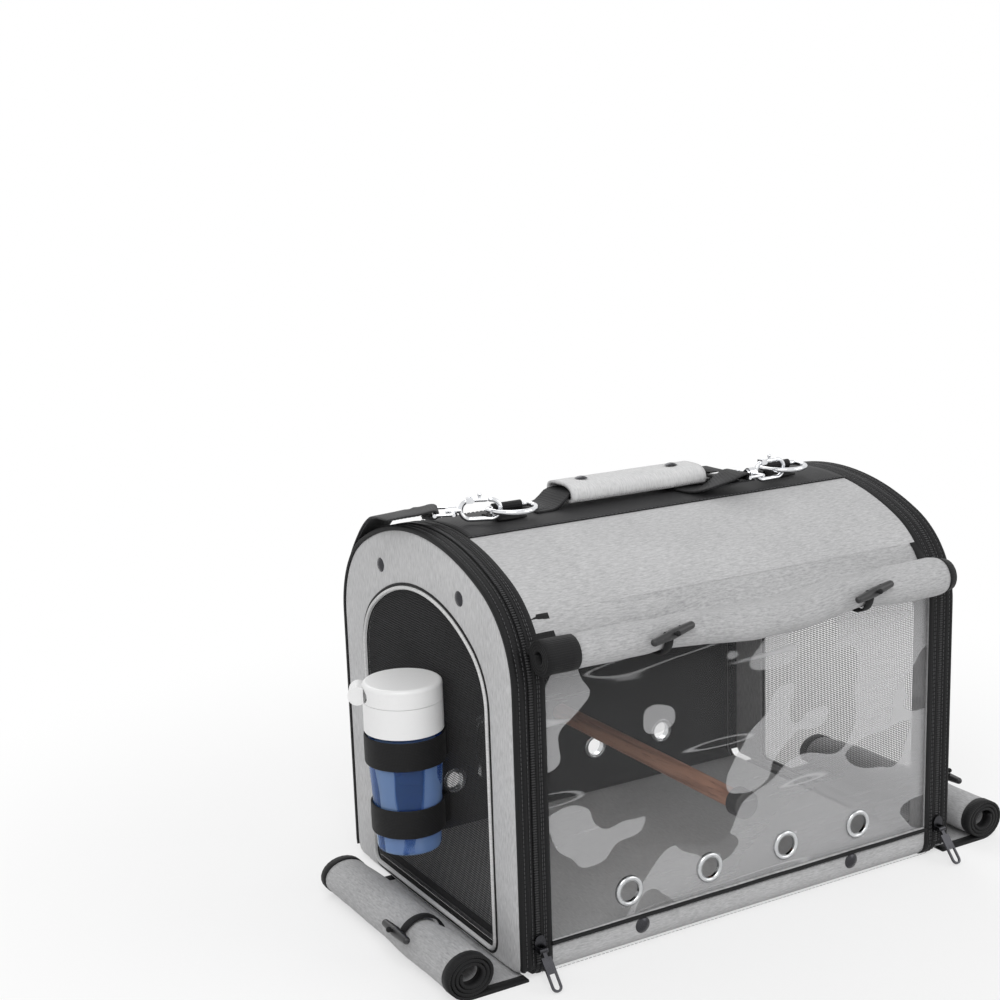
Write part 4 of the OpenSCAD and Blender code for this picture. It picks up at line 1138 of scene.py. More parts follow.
@dataclass
class Strap:
    """The webbing shoulder strap, which hangs behind the carrier from hook to hook."""

    hooks: Hooks
    width: float = 25.0
    depth: float = 1.6
    bar: float = 42.0
    bar_r: float = 1.5
    clear: float = 1.4
    lead: float = 10.0
    tail: float = 9.0
    seam: float = 0.86
    map_gap: float = 40.0
    steps: int = 6

    def route(self) -> list[tuple[Vector, Vector]]:
        """The strap's places with the way its width lies."""
        wrap, hook = self.bar_r + self.clear, self.hooks.point
        lead, tail = self.bar + self.lead, self.bar + self.tail
        hang = [
            (-201, 22, 308.5, 0.6, 0.8, 0), (-195, 62, 300, 1, 0, 0), (-188, 100, 279, 1, 0, 0),
            (-184, 130, 248, 1, 0, 0), (-180, 147, 205, 1, -0.1, 0), (-168, 156, 150, 0.8, -0.6, 0),
            (-138, 160, 90, 0.25, -1, 0.1), (-98, 160, 45, 0, -1, 0), (-55, 160, 28, 0, -1, 0),
            (-12, 160, 45, 0, -1, 0), (22, 160, 95, -0.3, -1, 0), (42, 156, 155, -0.8, -0.6, 0),
            (50, 147, 205, -1, -0.1, 0), (50, 130, 247, -1, 0, 0), (48, 100, 277, -1, 0, 0),
            (44, 62, 294.5, -1, 0, 0), (38, 26, 301.6, -1, 0, 0), (36, 2, 303.1, -1, 0, 0),
            (42, -19, 302.6, -0.75, -0.66, 0)]
        left = [(tail, -1.6), (tail - 4, -2.2), (self.bar, -wrap), (self.bar - wrap, 0), (self.bar, wrap),
                (lead, 1.2)]
        right = left[::-1]
        return ([hook(Side.LEFT, u, v) for u, v in left]
                + [(Vector(p[:3]), Vector(p[3:])) for p in hang]
                + [hook(Side.RIGHT, u, v) for u, v in right])

    def build(self) -> None:
        route = self.route()
        last = len(route) - 1
        count = last * self.steps
        line: list[Vector] = []
        wide: list[Vector] = []
        for k in range(count + 1):
            q = k * last / count
            i = min(int(q), last - 1)
            t = q - i
            a, b = route[max(i - 1, 0)][0], route[i][0]
            c, d = route[i + 1][0], route[min(i + 2, last)][0]
            line.append(0.5 * (2 * b + (c - a) * t + (2 * a - 5 * b + 4 * c - d) * t * t
                               + (3 * b - a - 3 * c + d) * t**3))
            wide.append((1 - t) * route[i][1] + t * route[i + 1][1])
        band = [(1, 0.25), (0.99, 0.7), (0.94, 1), (0.5, 1.02), (0, 1), (-0.5, 1.02), (-0.94, 1),
                (-0.99, 0.7), (-1, 0.25)]
        band += [(-a, -b) for a, b in band]
        rows: list[Row] = []
        seams: list[Row] = [[], []]
        walked = [0.0]
        for k, p in enumerate(line):
            ahead = (line[min(k + 1, count)] - line[max(k - 1, 0)]).normalized()
            w = (wide[k] - ahead * wide[k].dot(ahead)).normalized()
            n = ahead.cross(w)
            rows.append([p + w * (a * self.width / 2) + n * (b * self.depth / 2) for a, b in band])
            for seam, place in zip(seams, (-self.seam, self.seam)):
                seam.append(p + w * (place * self.width / 2) + n * (self.depth / 2 + THREAD_LIFT))
            if k:
                walked.append(walked[-1] + (p - line[k - 1]).length)
        half = len(band) // 2
        places = [a * self.width / 2 for a, _ in band]

        def uv(i: int, j: int) -> tuple[float, float]:
            return places[j % len(band)] + (0 if j % len(band) < half else self.map_gap), walked[i]

        form = Form().bar(rows, uv)
        strap = belong(form.mesh("shoulder_strap_band", [WEBBING]), ROOT, WEBBING, "shoulder_strap")
        STITCH_DARK.sew("shoulder_strap_stitches", ROOT, seams, length=2.2, radius=0.3, pitch=3.4)
        tuple(line[0] * MM)
        [tuple(p * MM) for p in line]


STITCH_DARK = Beads("dark_stitches", DARK_THREAD, across=False)
STITCH_GREY = Beads("grey_stitches", GREY_THREAD, across=False)
ZIP_TEETH = Beads("zip_chain", TEETH, across=True)
NET_STRANDS = Strands("net_strands", NET)


@dataclass
class Shell:
    """The grey body with its black lining, the window's opening and the air holes in the back."""

    half: float = 186.0
    window: float = 177.0
    low: float = 25.0
    high: float = 222.0
    wall: float = 3.0
    lining: float = 1.0
    hem: float = 8.0
    sewn: float = 0.15
    foot: float = 3.4
    sill: float = 4.0

    def across(self, step: float) -> list[float]:
        """Places along the carrier, with one at each edge of the window."""
        n = round(2 * self.window / step)
        inner = spread(-self.window, self.window, n)
        return [-self.half, *inner, self.half]

    def skin(self, name: str, finish: Finish, inset: float, depth: float, lap: float,
             half: float) -> bpy.types.Object:
        """One layer of the body with its opening cut out.

        Args:
            name: The layer's name.
            finish: Its cloth.
            inset: How far its outer face lies inside the body's.
            depth: Its thickness.
            lap: How much larger its opening is on each side.
            half: Its half length.

        Returns:
            The layer as a plain mesh.
        """
        low, high = self.low - lap, self.high + lap
        window = self.window + lap
        xs = [x for x in self.across(7.0) if abs(x) < half] if lap else self.across(5.0)
        xs = [-half, *[x for x in xs if abs(x) < half], half]
        places = OUTER.walk(6.0, marks=(low, high))
        rows = [[st.at(x, slack(x, st.y, st.z) - inset) for x in xs] for st in places]

        def keep(middle: Vector) -> bool:
            """Leaves out what lies in the window's opening."""
            inside = low < middle.z < high and abs(middle.x) < window
            return not (inside and middle.y < -40)

        def uv(i: int, j: int) -> tuple[float, float]:
            s = places[i].s if i < len(places) else places[-1].s + 6
            return xs[j], s

        obj = Form().grid(rows, round_v=True, keep=keep, uv=uv).mesh(name, [finish], sharp=60)
        thicken(obj, depth)
        holes = [Vector((x, 135, EYELET_Z)) for x in EYELET_X]
        return pierce(obj, holes, EYELET_HOLE, 12.0)

    def build(self) -> None:
        """Makes both layers and the seam lines."""
        body = self.skin("body_shell", GREY, 0.0, self.wall, 0.0, self.half)
        belong(body, ROOT, GREY, "fabric_shell")
        inner = self.skin("body_lining", LINING, self.wall, self.lining, self.hem, self.half - 1)
        belong(inner, ROOT, LINING, "black_lining")
        x1 = self.window
        y = OUTER.half + self.sewn
        runs = ((-y, self.low - self.sill), (-y, self.foot), (y, self.foot))
        lines = [[Vector((x, y, z)) for x in self.across(9.0)[1:-1]] for y, z in runs]
        STITCH_GREY.sew("body_seams", ROOT, lines, length=2.6, radius=0.28, pitch=3.6)
        rope = [Vector((x, -OUTER.half - 1.4, self.low - 1.0 + 0.25 * ripple(x, 0, 0, 30)))
                for x in [x1 * (k / 20 - 1) for k in range(41)]]
        cord = Form().tube(rope, 1.5, 10)
        belong(cord.mesh("window_sill_piping", [BLACK]), ROOT, BLACK, "window_piping")
        dress(STEEL, "window_eyelets", "back_eyelets")
        dress(DARK_METAL, "band_studs")


@dataclass
class Window:
    """The sheet of clear vinyl behind the opening."""

    half: float = 183.0
    low: float = 19.0
    high: float = 232.0
    depth: float = 0.7
    inset: float = 3.05
    free_x: float = 178.0
    free_z: tuple[float, float] = (27.0, 222.0)
    wave: float = 0.7
    fine: float = 0.3

    def build(self) -> None:
        """Makes the slightly wavy sheet."""
        walk = OUTER.walk(6.0, marks=(self.low, self.high))
        places = [s for s in walk if s.y < 0 and self.low - 0.01 <= s.z <= self.high + 0.01 and s.ny < -0.2]
        xs = spread(-self.half, self.half, 60)

        def give(x: float, z: float) -> float:
            """How far out the free part of the sheet waves."""
            low, high = self.free_z
            free = smooth(self.free_x - abs(x), 0, 30) * smooth(z, low, 50) * smooth(high - z, 0, 20)
            near = min(math.hypot(x - ex, z - EYELET_Z) for ex in EYELET_X)
            wave = self.wave * ripple(x, 0, z, 60, 1.7) + self.fine * ripple(x, 0, z, 25, 4.2)
            return wave * free * smooth(near, 9, 24)

        rows = [[st.at(x, give(x, st.z) - self.inset) for x in xs] for st in places]
        obj = Form().grid(rows, uv=lambda i, j: (xs[j], places[i].z)).mesh("window_vinyl", [FILM])
        thicken(obj, self.depth)
        pierce(obj, [Vector((x, -132, EYELET_Z)) for x in EYELET_X], FILM_HOLE, 8.0)
        belong(obj, ROOT, FILM, "window_film")


@dataclass
class ZipEnd:
    """The body's side of one end door's zip: tape, chain and the sill that the door folds on."""

    side: Side
    tape_x: float = TAPE_X
    shell_x: float = 186.0
    chain_x: float = 189.4

    def path(self, out: float, x: float, low: float) -> list[Vector]:
        """The line round the arch from one foot to the other, above a height."""
        walk = OUTER.walk(5.0, closed=True)
        front = [s for s in walk if s.y < -122 and s.z < OUTER.foot + 0.01 and s.nz < 0]
        over = OUTER.walk(5.0, closed=False)
        rear = [s for s in walk if s.y > 122 and s.z < OUTER.foot + 0.01 and s.nz < 0]
        line = [s.at(self.side.value * x, out) for s in front + over + rear]
        return [p for p in line if p.z >= low]

    def loft(self, name: str, profile: Sequence[tuple[float, float]], low: float,
             finish: Finish) -> bpy.types.Object:
        """Sweeps a closed profile of (place along, out) over the arch."""
        lines = [self.path(out, x, -99.0) for x, out in profile]
        rows = [[Vector((line[i].x, line[i].y, max(line[i].z, low))) for line in lines]
                for i in range(len(lines[0]))]
        rows = [r for r in rows if max(p.z for p in r) > low + 0.01]
        form = Form().bar(rows)
        return form.mesh(name, [finish], sharp=50)

    def build(self) -> None:
        """Makes the tape with its ridges, the chain and the sill."""
        word, t, s = self.side.word, self.tape_x, self.shell_x
        tape = [(s, 0.0), (s, 0.7), (s - 0.7, 1.35), (s - 1.7, 1.35), (s - 2.4, 0.75), (s - 5.8, 0.7),
                (s - 6.4, 1.2), (s - 7.4, 1.35), (s - 8.4, 1.15), (s - 9.3, 0.7), (t, 0.35), (t, 0.0)]
        obj = self.loft(f"{word}_zip_binding", tape, 0.0, BLACK)
        belong(obj, ROOT, BLACK, f"{word}_zip_tape")
        c = self.chain_x
        core = [(s, -3.0), (s, 0.2), (s + 0.5, 0.6), (c - 0.5, 0.6), (c, 0.2), (c, -3.0)]
        belong(self.loft(f"{word}_zip_core", core, 0.0, BLACK), ROOT, BLACK)
        middle = (s + c) / 2
        chain = [self.path(0.75, middle, 8.0)]
        ZIP_TEETH.sew(f"{word}_zip_teeth", ROOT, chain, length=3.1, radius=0.62, pitch=1.9)
        lines = [self.path(1.0, s - 3.4, 2.0), self.path(1.0, s - 5.0, 2.0)]
        STITCH_DARK.sew(f"{word}_zip_stitches", ROOT, lines, length=2.2, radius=0.28, pitch=3.3)
        x0, x1 = (self.side.value * x for x in SILL_X)
        ring = [(x0, 0.0), (x0, 2.9), (x0 + (x1 - x0) * 0.1, 3.0), (x0 + (x1 - x0) * 0.9, 3.0), (x1, 2.6),
                (x1, 0.0)]
        rows = [[Vector((x, y, z)) for x, z in ring] for y in SILL_Y]
        sill = Form().bar(rows)
        belong(sill.mesh(f"{word}_door_sill", [BLACK]), ROOT, BLACK)


@dataclass
class Door:
    """One end door: padded border, zip round its edge, piping, net and studs."""

    side: Side
    face: float = 200.0
    back: float = 197.0
    low: float = 4.0
    pitch: float = 1.9
    strand: float = 0.30
    selvedge: float = 0.6
    lap_in: float = 0.2
    lap_out: float = -2.4
    fill: float = 1.5
    sunk: float = 0.5
    crease: float = 0.35
    pinched: float = 0.1

    @property
    def body(self) -> str:
        """The body that the door moves with."""
        return f"{self.side.word}_door"

    def x(self, value: float) -> float:
        """A place along the carrier on this door's end."""
        return self.side.value * value

    def hoop(self, form: Form, profile: Sequence[tuple[float, float]], step: float) -> Form:
        """Sweeps a closed profile of (place along, out) round the net and adds it to a form."""
        rows = [[s.at(self.x(x), out) for x, out in profile] for s in MESH.walk(step)]
        return form.grid(rows, round_u=True, round_v=True)

    def border(self) -> None:
        """The padded grey panel between the zip and the net."""
        counts = (16, 12, 16, 12, 16, 4, 20, 4)
        inner = MESH.walk(5.0, counts=counts)
        outer = OUTER.walk(5.0, counts=counts)
        shares = [0.0, 0.02, 0.07, 0.16, 0.3, 0.45, 0.6, 0.74, 0.86, 0.94, 0.98, 1.0]
        rows_front: list[Row] = []
        rows_back: list[Row] = []
        for share in shares:
            swell = (1 - (2 * share - 1) ** 6) * self.fill - self.sunk
            front: Row = []
            rear: Row = []
            for a, b in zip(inner, outer):
                p = a.at(0, self.lap_in) * (1 - share) + b.at(0, self.lap_out) * share
                z = max(p.z, self.low)
                near = min(math.hypot(p.y - s * STUD_Y, z - STUD_Z) for s in (-1, 1))
                free = smooth(near, 3, 14)
                wave = self.crease * ripple(0, p.y, z, 34, 2.2) * smooth(share, 0, 0.2)
                puff = (swell + wave * smooth(1 - share, 0, 0.2)) * free + self.pinched * (1 - free)
                front.append(Vector((self.x(self.face + puff), p.y, z)))
                rear.append(Vector((self.x(self.back), p.y, z)))
            rows_front.append(front)
            rows_back.append(rear)
        rows = rows_front + rows_back[::-1]

        def uv(i: int, j: int) -> tuple[float, float]:
            p = rows[i % len(rows)][j % len(inner)]
            return p.y, p.z

        form = Form().grid(rows, round_u=True, round_v=True, uv=uv)
        # The border wears the brighter copy of the grey cloth, which is painted light.
        obj = form.mesh(f"{self.side.word}_border_panel", [GREY_UP_PAINTED_LIGHT], sharp=55)
        belong(obj, self.body, GREY_UP_PAINTED_LIGHT, f"{self.side.word}_door_border")

    def edge(self) -> None:
        """The zip tape round the door's edge, with its ridges and stitches."""
        word, f = self.side.word, self.face
        edge = [(189.8, -2.0), (189.8, -0.1), (190.3, 0.25), (193.2, 0.3), (193.7, 0.9), (194.7, 1.15),
                (195.6, 0.8), (196.2, 0.3), (197.6, 0.3), (198.2, 0.85), (199.3, 1.0), (200.4, 0.55),
                (201.0, -0.3), (201.0, -2.4), (200.6, -3.1), (f - 0.4, -3.1), (f - 0.4, -2.1)]
        zip_end = ZipEnd(self.side)
        obj = zip_end.loft(f"{word}_door_zip_binding", edge, 7.0, BLACK)
        belong(obj, self.body, BLACK, f"{word}_door_zips")
        lines = [zip_end.path(0.45, 191.9, 9.0), zip_end.path(0.45, 196.9, 9.0)]
        STITCH_DARK.sew(f"{word}_door_zip_stitches", self.body, lines, length=2.2, radius=0.3, pitch=3.3)

    def piping(self) -> None:
        """The pale piping round the net, the cover's zip beside it and the bead along the floor."""
        word = self.side.word
        bead = [s.at(self.x(self.face + 1.0), 0.3) for s in MESH.walk(3.5)]
        form = Form().tube(bead, 1.45, 10, closed=True)
        flange = [(-0.3, -1.4), (0.35, -1.3), (0.5, 1.2), (-0.3, 1.3)]
        self.hoop(form, [(self.face + x, out) for x, out in flange], 3.5)
        rope = [Vector((self.x(198.5), y, 3.6)) for y in SILL_Y]
        form.tube(rope, 2.0, 12)
        belong(form.mesh(f"{word}_net_piping", [PIPE]), self.body, PIPE, f"{word}_door_piping")
        tape = [(199.9, 1.9), (201.0, 2.1), (201.2, 2.9), (201.0, 3.9), (199.9, 4.2)]
        belong(self.hoop(Form(), tape, 3.5).mesh(f"{word}_cover_zip_tape", [BLACK]), self.body, BLACK)

    def net(self) -> None:
        """The net itself, in crossing strands, with its bound edge."""
        word = self.side.word
        inset = self.selvedge
        half, top, floor = MESH.half - inset, MESH.top - inset, MESH.floor + inset
        lines: list[list[Vector]] = []
        count = int(2 * half / self.pitch)
        crown_z = MESH.top - MESH.crown

        def roof(y: float) -> float:
            """Height of the outline above a place across the door."""
            if abs(y) <= MESH.crown * math.sin(MESH.lean):
                return crown_z + math.sqrt(MESH.crown**2 - y * y) - inset
            reach = abs(y) - (MESH.half - MESH.shoulder)
            return MESH.spring + math.sqrt(max(MESH.shoulder**2 - reach * reach, 0.0)) - inset

        for k in range(count + 1):
            y = -half + k * 2 * half / count
            end = roof(y)
            steps = spread(floor, end, 4)
            lines.append([Vector((self.x(199.5 + 0.3 * ripple(0, y, z, 50, 5)), y, z)) for z in steps])
        count = int((top - floor) / self.pitch)
        for k in range(count + 1):
            z = floor + k * (top - floor) / count
            ends = [y for y in (half - 0.25 * n for n in range(int(4 * half))) if roof(y) >= z]
            reach = ends[0] if ends else 1.0
            lines.append([Vector((self.x(199.3 + 0.3 * ripple(0, y, z, 50, 5)), y, z))
                          for y in (-reach, -reach / 2, 0.0, reach / 2, reach)])
        net = NET_STRANDS.spin(f"{word}_net", lines, self.strand)
        belong(net, self.body, NET, f"{word}_door_mesh")
        bound = [(198.9, 0.2), (200.0, 0.2), (200.1, -1.6), (198.9, -1.7)]
        belong(self.hoop(Form(), bound, 4.0).mesh(f"{word}_net_binding", [BLACK]), self.body, BLACK)

    def build(self) -> None:
        """Makes the whole door."""
        self.border()
        self.edge()
        self.piping()
        self.net()
        dress(DARK_METAL, f"{self.side.word}_door_studs")


@dataclass
class Roll:
    """A cover rolled up on itself, as one cloth with bound ends."""

    name: str
    radius: float
    core: float
    depth: float
    height: float
    first: float
    last: float
    trim_first: float
    trim_last: float
    flap: list[tuple[float, float]]
    lay: Callable[[float, float, float, float], Vector]
    turn: float
    swell: Callable[[float], float]
    loose: list[tuple[float, float]] = field(default_factory=list)
    taut: Callable[[float], float] = lambda s: 1.0

    def line(self) -> list[tuple[float, float]]:
        """The cloth's middle line from its sewn edge to the core, in the roll's own plane."""
        pitch = math.pi * (self.radius**2 - self.core**2) / self.height
        turns = (self.radius - self.core) / pitch
        r0 = self.radius - self.depth / 2
        steps = int(turns * 26)
        wound = []
        for k in range(steps + 1):
            a = 2 * math.pi * turns * k / steps
            r = r0 - pitch * a / (2 * math.pi)
            wound.append((self.turn * r * math.sin(a), -r * math.cos(a)))
        return list(self.flap) + wound

    def strip(self, name: str, finish: Finish, start: float, end: float, grow: float) -> bpy.types.Object:
        """The length of the roll between two places along its axis.

        Args:
            name: The piece's name.
            finish: Its cloth.
            start: Where it starts along the axis.
            end: Where it ends.
            grow: How much thicker than the cover it is.

        Returns:
            The piece.
        """
        line = self.line()
        count = max(2, round(abs(end - start) / 6))
        stops = spread(start, end, count)
        flap = len(self.flap)
        rows: list[Row] = []
        walked = [0.0]
        for a, b in zip(line, line[1:]):
            walked.append(walked[-1] + math.hypot(b[0] - a[0], b[1] - a[1]))
        for s in stops:
            row: Row = []
            for i, (u, v) in enumerate(line):
                share = 1.0 if i >= flap else smooth(i / max(flap - 1, 1), 0.1, 0.9)
                if i < flap and self.loose:
                    a, t = self.taut(s), i / flap
                    fold = 1.5 * math.sin(2 * math.pi * (1.4 * t + s / 150)) * math.sin(math.pi * t) * a
                    u = u * a + self.loose[i][0] * (1 - a) + fold * 0.6
                    v = v * a + self.loose[i][1] * (1 - a) - fold * 1.1
                angle = math.atan2(v, u)
                give = 0.45 * ripple(s, 8 * math.cos(angle), 8 * math.sin(angle), 16, self.radius) * share
                size = self.swell(s) * share + (1 - share) + give / self.radius
                row.append(self.lay(s, u * size, v * size, share))
            rows.append(row)
        form = Form().grid(rows, uv=lambda i, j: (stops[i], walked[j]))
        obj = form.mesh(name, [finish], sharp=60)
        return thicken(obj, self.depth + grow, 0.0)

    def build(self, node: str) -> list[bpy.types.Object]:
        """Makes the cover and its bound ends.

        Args:
            node: The CAD node that the cover replaces.

        Returns:
            The bound ends.
        """
        # The rolled cover wears the darker copy of the grey cloth, which is painted shade.
        cover = self.strip(f"{self.name}_cover", GREY_ROLLED_PAINTED_SHADE, self.first + self.trim_first,
                           self.last - self.trim_last, 0.0)
        belong(cover, ROOT, GREY_ROLLED_PAINTED_SHADE, node)
        ends = [(self.first, self.first + self.trim_first + 0.4),
                (self.last - self.trim_last - 0.4, self.last)]
        bound = [self.strip(f"{self.name}_bound_end_{k}", BLACK, a, b, 0.7)
                 for k, (a, b) in enumerate(ends)]
        for obj in bound:
            belong(obj, ROOT, BLACK)
        long = abs(self.last - self.first) - self.trim_first - self.trim_last
        line = self.line()
        deep = sum(math.hypot(b[0] - a[0], b[1] - a[1]) for a, b in zip(line, line[1:]))
        long * MM
        return bound


@dataclass
class Rolls:
    """The three rolled covers, the elastic loops that hold them and the loops' toggles."""

    end_x: float = 245.0
    end_r: float = 17.5
    front_z: float = 237.0
    front_r: float = 12.5
    loop_depth: float = 1.4
    loop_width: float = 7.0
    toggle_x: float = 91.0
    toggle_y: float = -68.0
    seam_rise: float = 7.0
    flap_steps: int = 18
    hang_steps: int = 8
    sag: float = 6.5
    crease: float = 0.55
    bulge: float = 0.22
    tie: float = 0.10
    tight: float = 0.62
    splay: float = 0.13
    slump: tuple[float, float] = (0.03, 0.12)
    roll_in: float = 3.5

    @property
    def front_y(self) -> float:
        """Depth of the front roll's axis."""
        return -OUTER.flank(self.front_z) - self.front_r - 5.5

    def front_roll(self) -> Roll:
        """The window's cover, rolled up under the edge of the roof."""
        y0, z0, r = self.front_y, self.front_z, self.front_r
        seam = z0 + r + self.seam_rise
        edge = 0.9 - OUTER.flank(seam)
        n = self.flap_steps
        flap = []
        for k in range(n):
            t = k / n
            y = edge + (y0 - edge) * t
            z = seam + 1.0 + (z0 + r - 0.6 - seam - 1.0) * t - 0.8 * math.sin(math.pi * t)
            flap.append((-(y - y0), -(z - z0)))
        down = self.hang_steps
        loose = []
        for k in range(down):
            z = seam + 1.0 + (z0 + 1.0 - seam - 1.0) * k / down
            off = 1.6 * smooth(k / down, 0.5, 1)
            loose.append((y0 + OUTER.flank(min(z, OUTER.top - 1)) - 1.2 + off, z0 - z))
        for k in range(n - down):
            a = math.radians(-92 + 92 * k / (n - down))
            loose.append(((r - 0.6) * math.sin(a), -(r - 0.6) * math.cos(a)))

        def lay(s: float, u: float, v: float, share: float) -> Vector:
            """Sets a point of the roll's own plane in the frame, with its sag."""
            wave = self.crease * ripple(s, u, 0, 13, 2.0)
            pull = wave * smooth(-u, 3, 14) * smooth(22 + u, 0, 6) if u < 0 else 0.0
            sag = self.sag * smooth(s, -84, 0) * smooth(86 - s, 0, 60) * share
            return Vector((s, y0 - u, z0 - v + pull - sag))

        def swell(s: float) -> float:
            """How thick the roll is at a place, drawn in at its toggles."""
            tied = bell(s, -self.toggle_x, 8) + bell(s, self.toggle_x, 8)
            bulge = self.bulge * smooth(s, 100, 122) * smooth(178 - s, 0, 10)
            return 1.0 + bulge - self.tie * tied

        def taut(s: float) -> float:
            """How tightly the flap is drawn at a place, from 0 to 1."""
            return self.tight * smooth(s, -84, -20) * (1 - 0.55 * smooth(s, 96, 130))

        return Roll("window_roll", radius=r, core=5.0, depth=1.1, height=209.0, first=-188.0, last=179.0,
                    trim_first=26.0, trim_last=8.0, flap=flap, lay=lay, turn=1.0, swell=swell,
                    loose=loose, taut=taut)

    def end_roll(self, side: Side) -> Roll:
        """A door's cover, rolled up on the floor in front of it."""
        x0, r = self.end_x, self.end_r
        n = 6
        flap = [((x0 - SILL_X[1]) * (1 - k / n), -r + 0.75) for k in range(n)]

        def lay(s: float, u: float, v: float, share: float) -> Vector:
            """Sets a point of the roll's own plane in the frame, with its sag."""
            free = 1.0 - bell(s, self.toggle_y, 16)
            far = smooth(s, 10, 74)
            wide = 1.0 + self.splay * free * share
            height = (r + v) * (1.0 - (self.slump[0] + self.slump[1] * far) * free)
            return Vector((side.value * (x0 - u * wide - self.roll_in * free * share), s,
                           max(height, 0.0) if v > -r + 0.1 else 0.75))

        def swell(s: float) -> float:
            """How thick the roll is at a place, drawn in at its toggles."""
            return 0.985 - 0.03 * bell(s, self.toggle_y, 9)

        return Roll(f"{side.word}_door_roll", radius=r, core=8.0, depth=1.5, height=266.0, first=-136.0,
                    last=74.0, trim_first=8.0, trim_last=8.0, flap=flap, lay=lay, turn=-1.0, swell=swell)

    def band(self, form: Form, place: Matrix, r: float, start: float, sweep: float) -> None:
        """An elastic loop in a frame whose Z is the roll's axis and whose +X points at the toggle."""
        w, d = self.loop_width / 2, self.loop_depth
        ring = [(0.0, -w), (0.0, w), (d * 0.6, w), (d, w * 0.8), (d, -w * 0.8), (d * 0.6, -w)]
        steps = 30
        rows = []
        for k in range(steps + 1):
            a = math.radians(start + sweep * k / steps)
            rows.append([place @ Vector(((r + o) * math.cos(a), (r + o) * math.sin(a), h))
                         for o, h in ring])
        form.bar(rows)
        reach = TOGGLE_LONG + 1
        cord = [place @ Vector((r + d - 0.3 + reach * k / 4, 0, 0)) for k in range(5)]
        form.tube(cord, 1.2, 10)
        knot = place @ Vector((r + d + TOGGLE_LONG + 2.0, 0, 0))
        ball = [knot + (cord[1] - cord[0]).normalized() * (2.1 * (k / 4 - 1)) for k in range(9)]
        form.tube(ball, lambda t: max(2.15 * math.sqrt(max(1 - (2 * t - 1) ** 2, 0.0)), 0.15), 10)

    def frames(self) -> list[tuple[Matrix, float, float, float]]:
        """The frames of the four loops with their radius, start and sweep."""
        front = (Matrix.Rotation(math.radians(-105), 4, "X") @ Matrix.Rotation(math.radians(90), 4, "Y"))
        made = [(Matrix.Translation((s * self.toggle_x, self.front_y, self.front_z)) @ front,
                 self.front_r, -8.0, 203.0) for s in (-1, 1)]
        reach = math.degrees(math.asin((self.end_r - 1.5) / (self.end_r + self.loop_depth)))
        base = (Matrix.Translation((-self.end_x, self.toggle_y, self.end_r))
                @ Matrix.Rotation(math.radians(90), 4, "X") @ Matrix.Rotation(math.radians(150), 4, "Z"))
        end = (self.end_r, -150.0 - reach, 158.0 + reach)
        made.append((base, *end))
        made.append((Matrix.Scale(-1, 4, (1, 0, 0)) @ base, *end))
        return made

    def build(self) -> None:
        """Makes the rolls, the loops and the toggles' finish."""
        ends = self.front_roll().build("front_cover_roll")
        ends += self.end_roll(Side.LEFT).build("left_cover_roll")
        ends += self.end_roll(Side.RIGHT).build("right_cover_roll")
        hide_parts("roll_end_trims")
        form = Form()
        for place, r, start, sweep in self.frames():
            self.band(form, place, r, start, sweep)
        foot_y = self.front_y + self.front_r + self.loop_depth - 0.4
        for s in (-1, 1):
            x0, x1 = s * self.toggle_x - 3.5, s * self.toggle_x + 3.5
            rows = [[Vector((x, y, z)) for x in (x0, x1)] for y, z in (
                (foot_y, self.front_z - 6), (foot_y + 3.6, self.front_z - 5.4),
                (foot_y + 3.6, self.front_z - 3.2), (foot_y, self.front_z - 3))]
            form.grid(rows, round_v=True)
            root = self.end_x - 10.2
            rows = [[Vector((s * x, y, z)) for y in (self.toggle_y - 3.5, self.toggle_y + 3.5)]
                    for x, z in ((root, 1.5), (root - 6, 1.5), (root - 6, 2.6), (root, 2.9))]
            form.grid(rows, round_v=True)
        obj = form.mesh("cover_loops", [ELASTIC], sharp=50)
        belong(obj, ROOT, ELASTIC, "roll_loops")
        dress(PLASTIC, "front_left_toggle", "front_right_toggle", "left_toggle", "right_toggle")


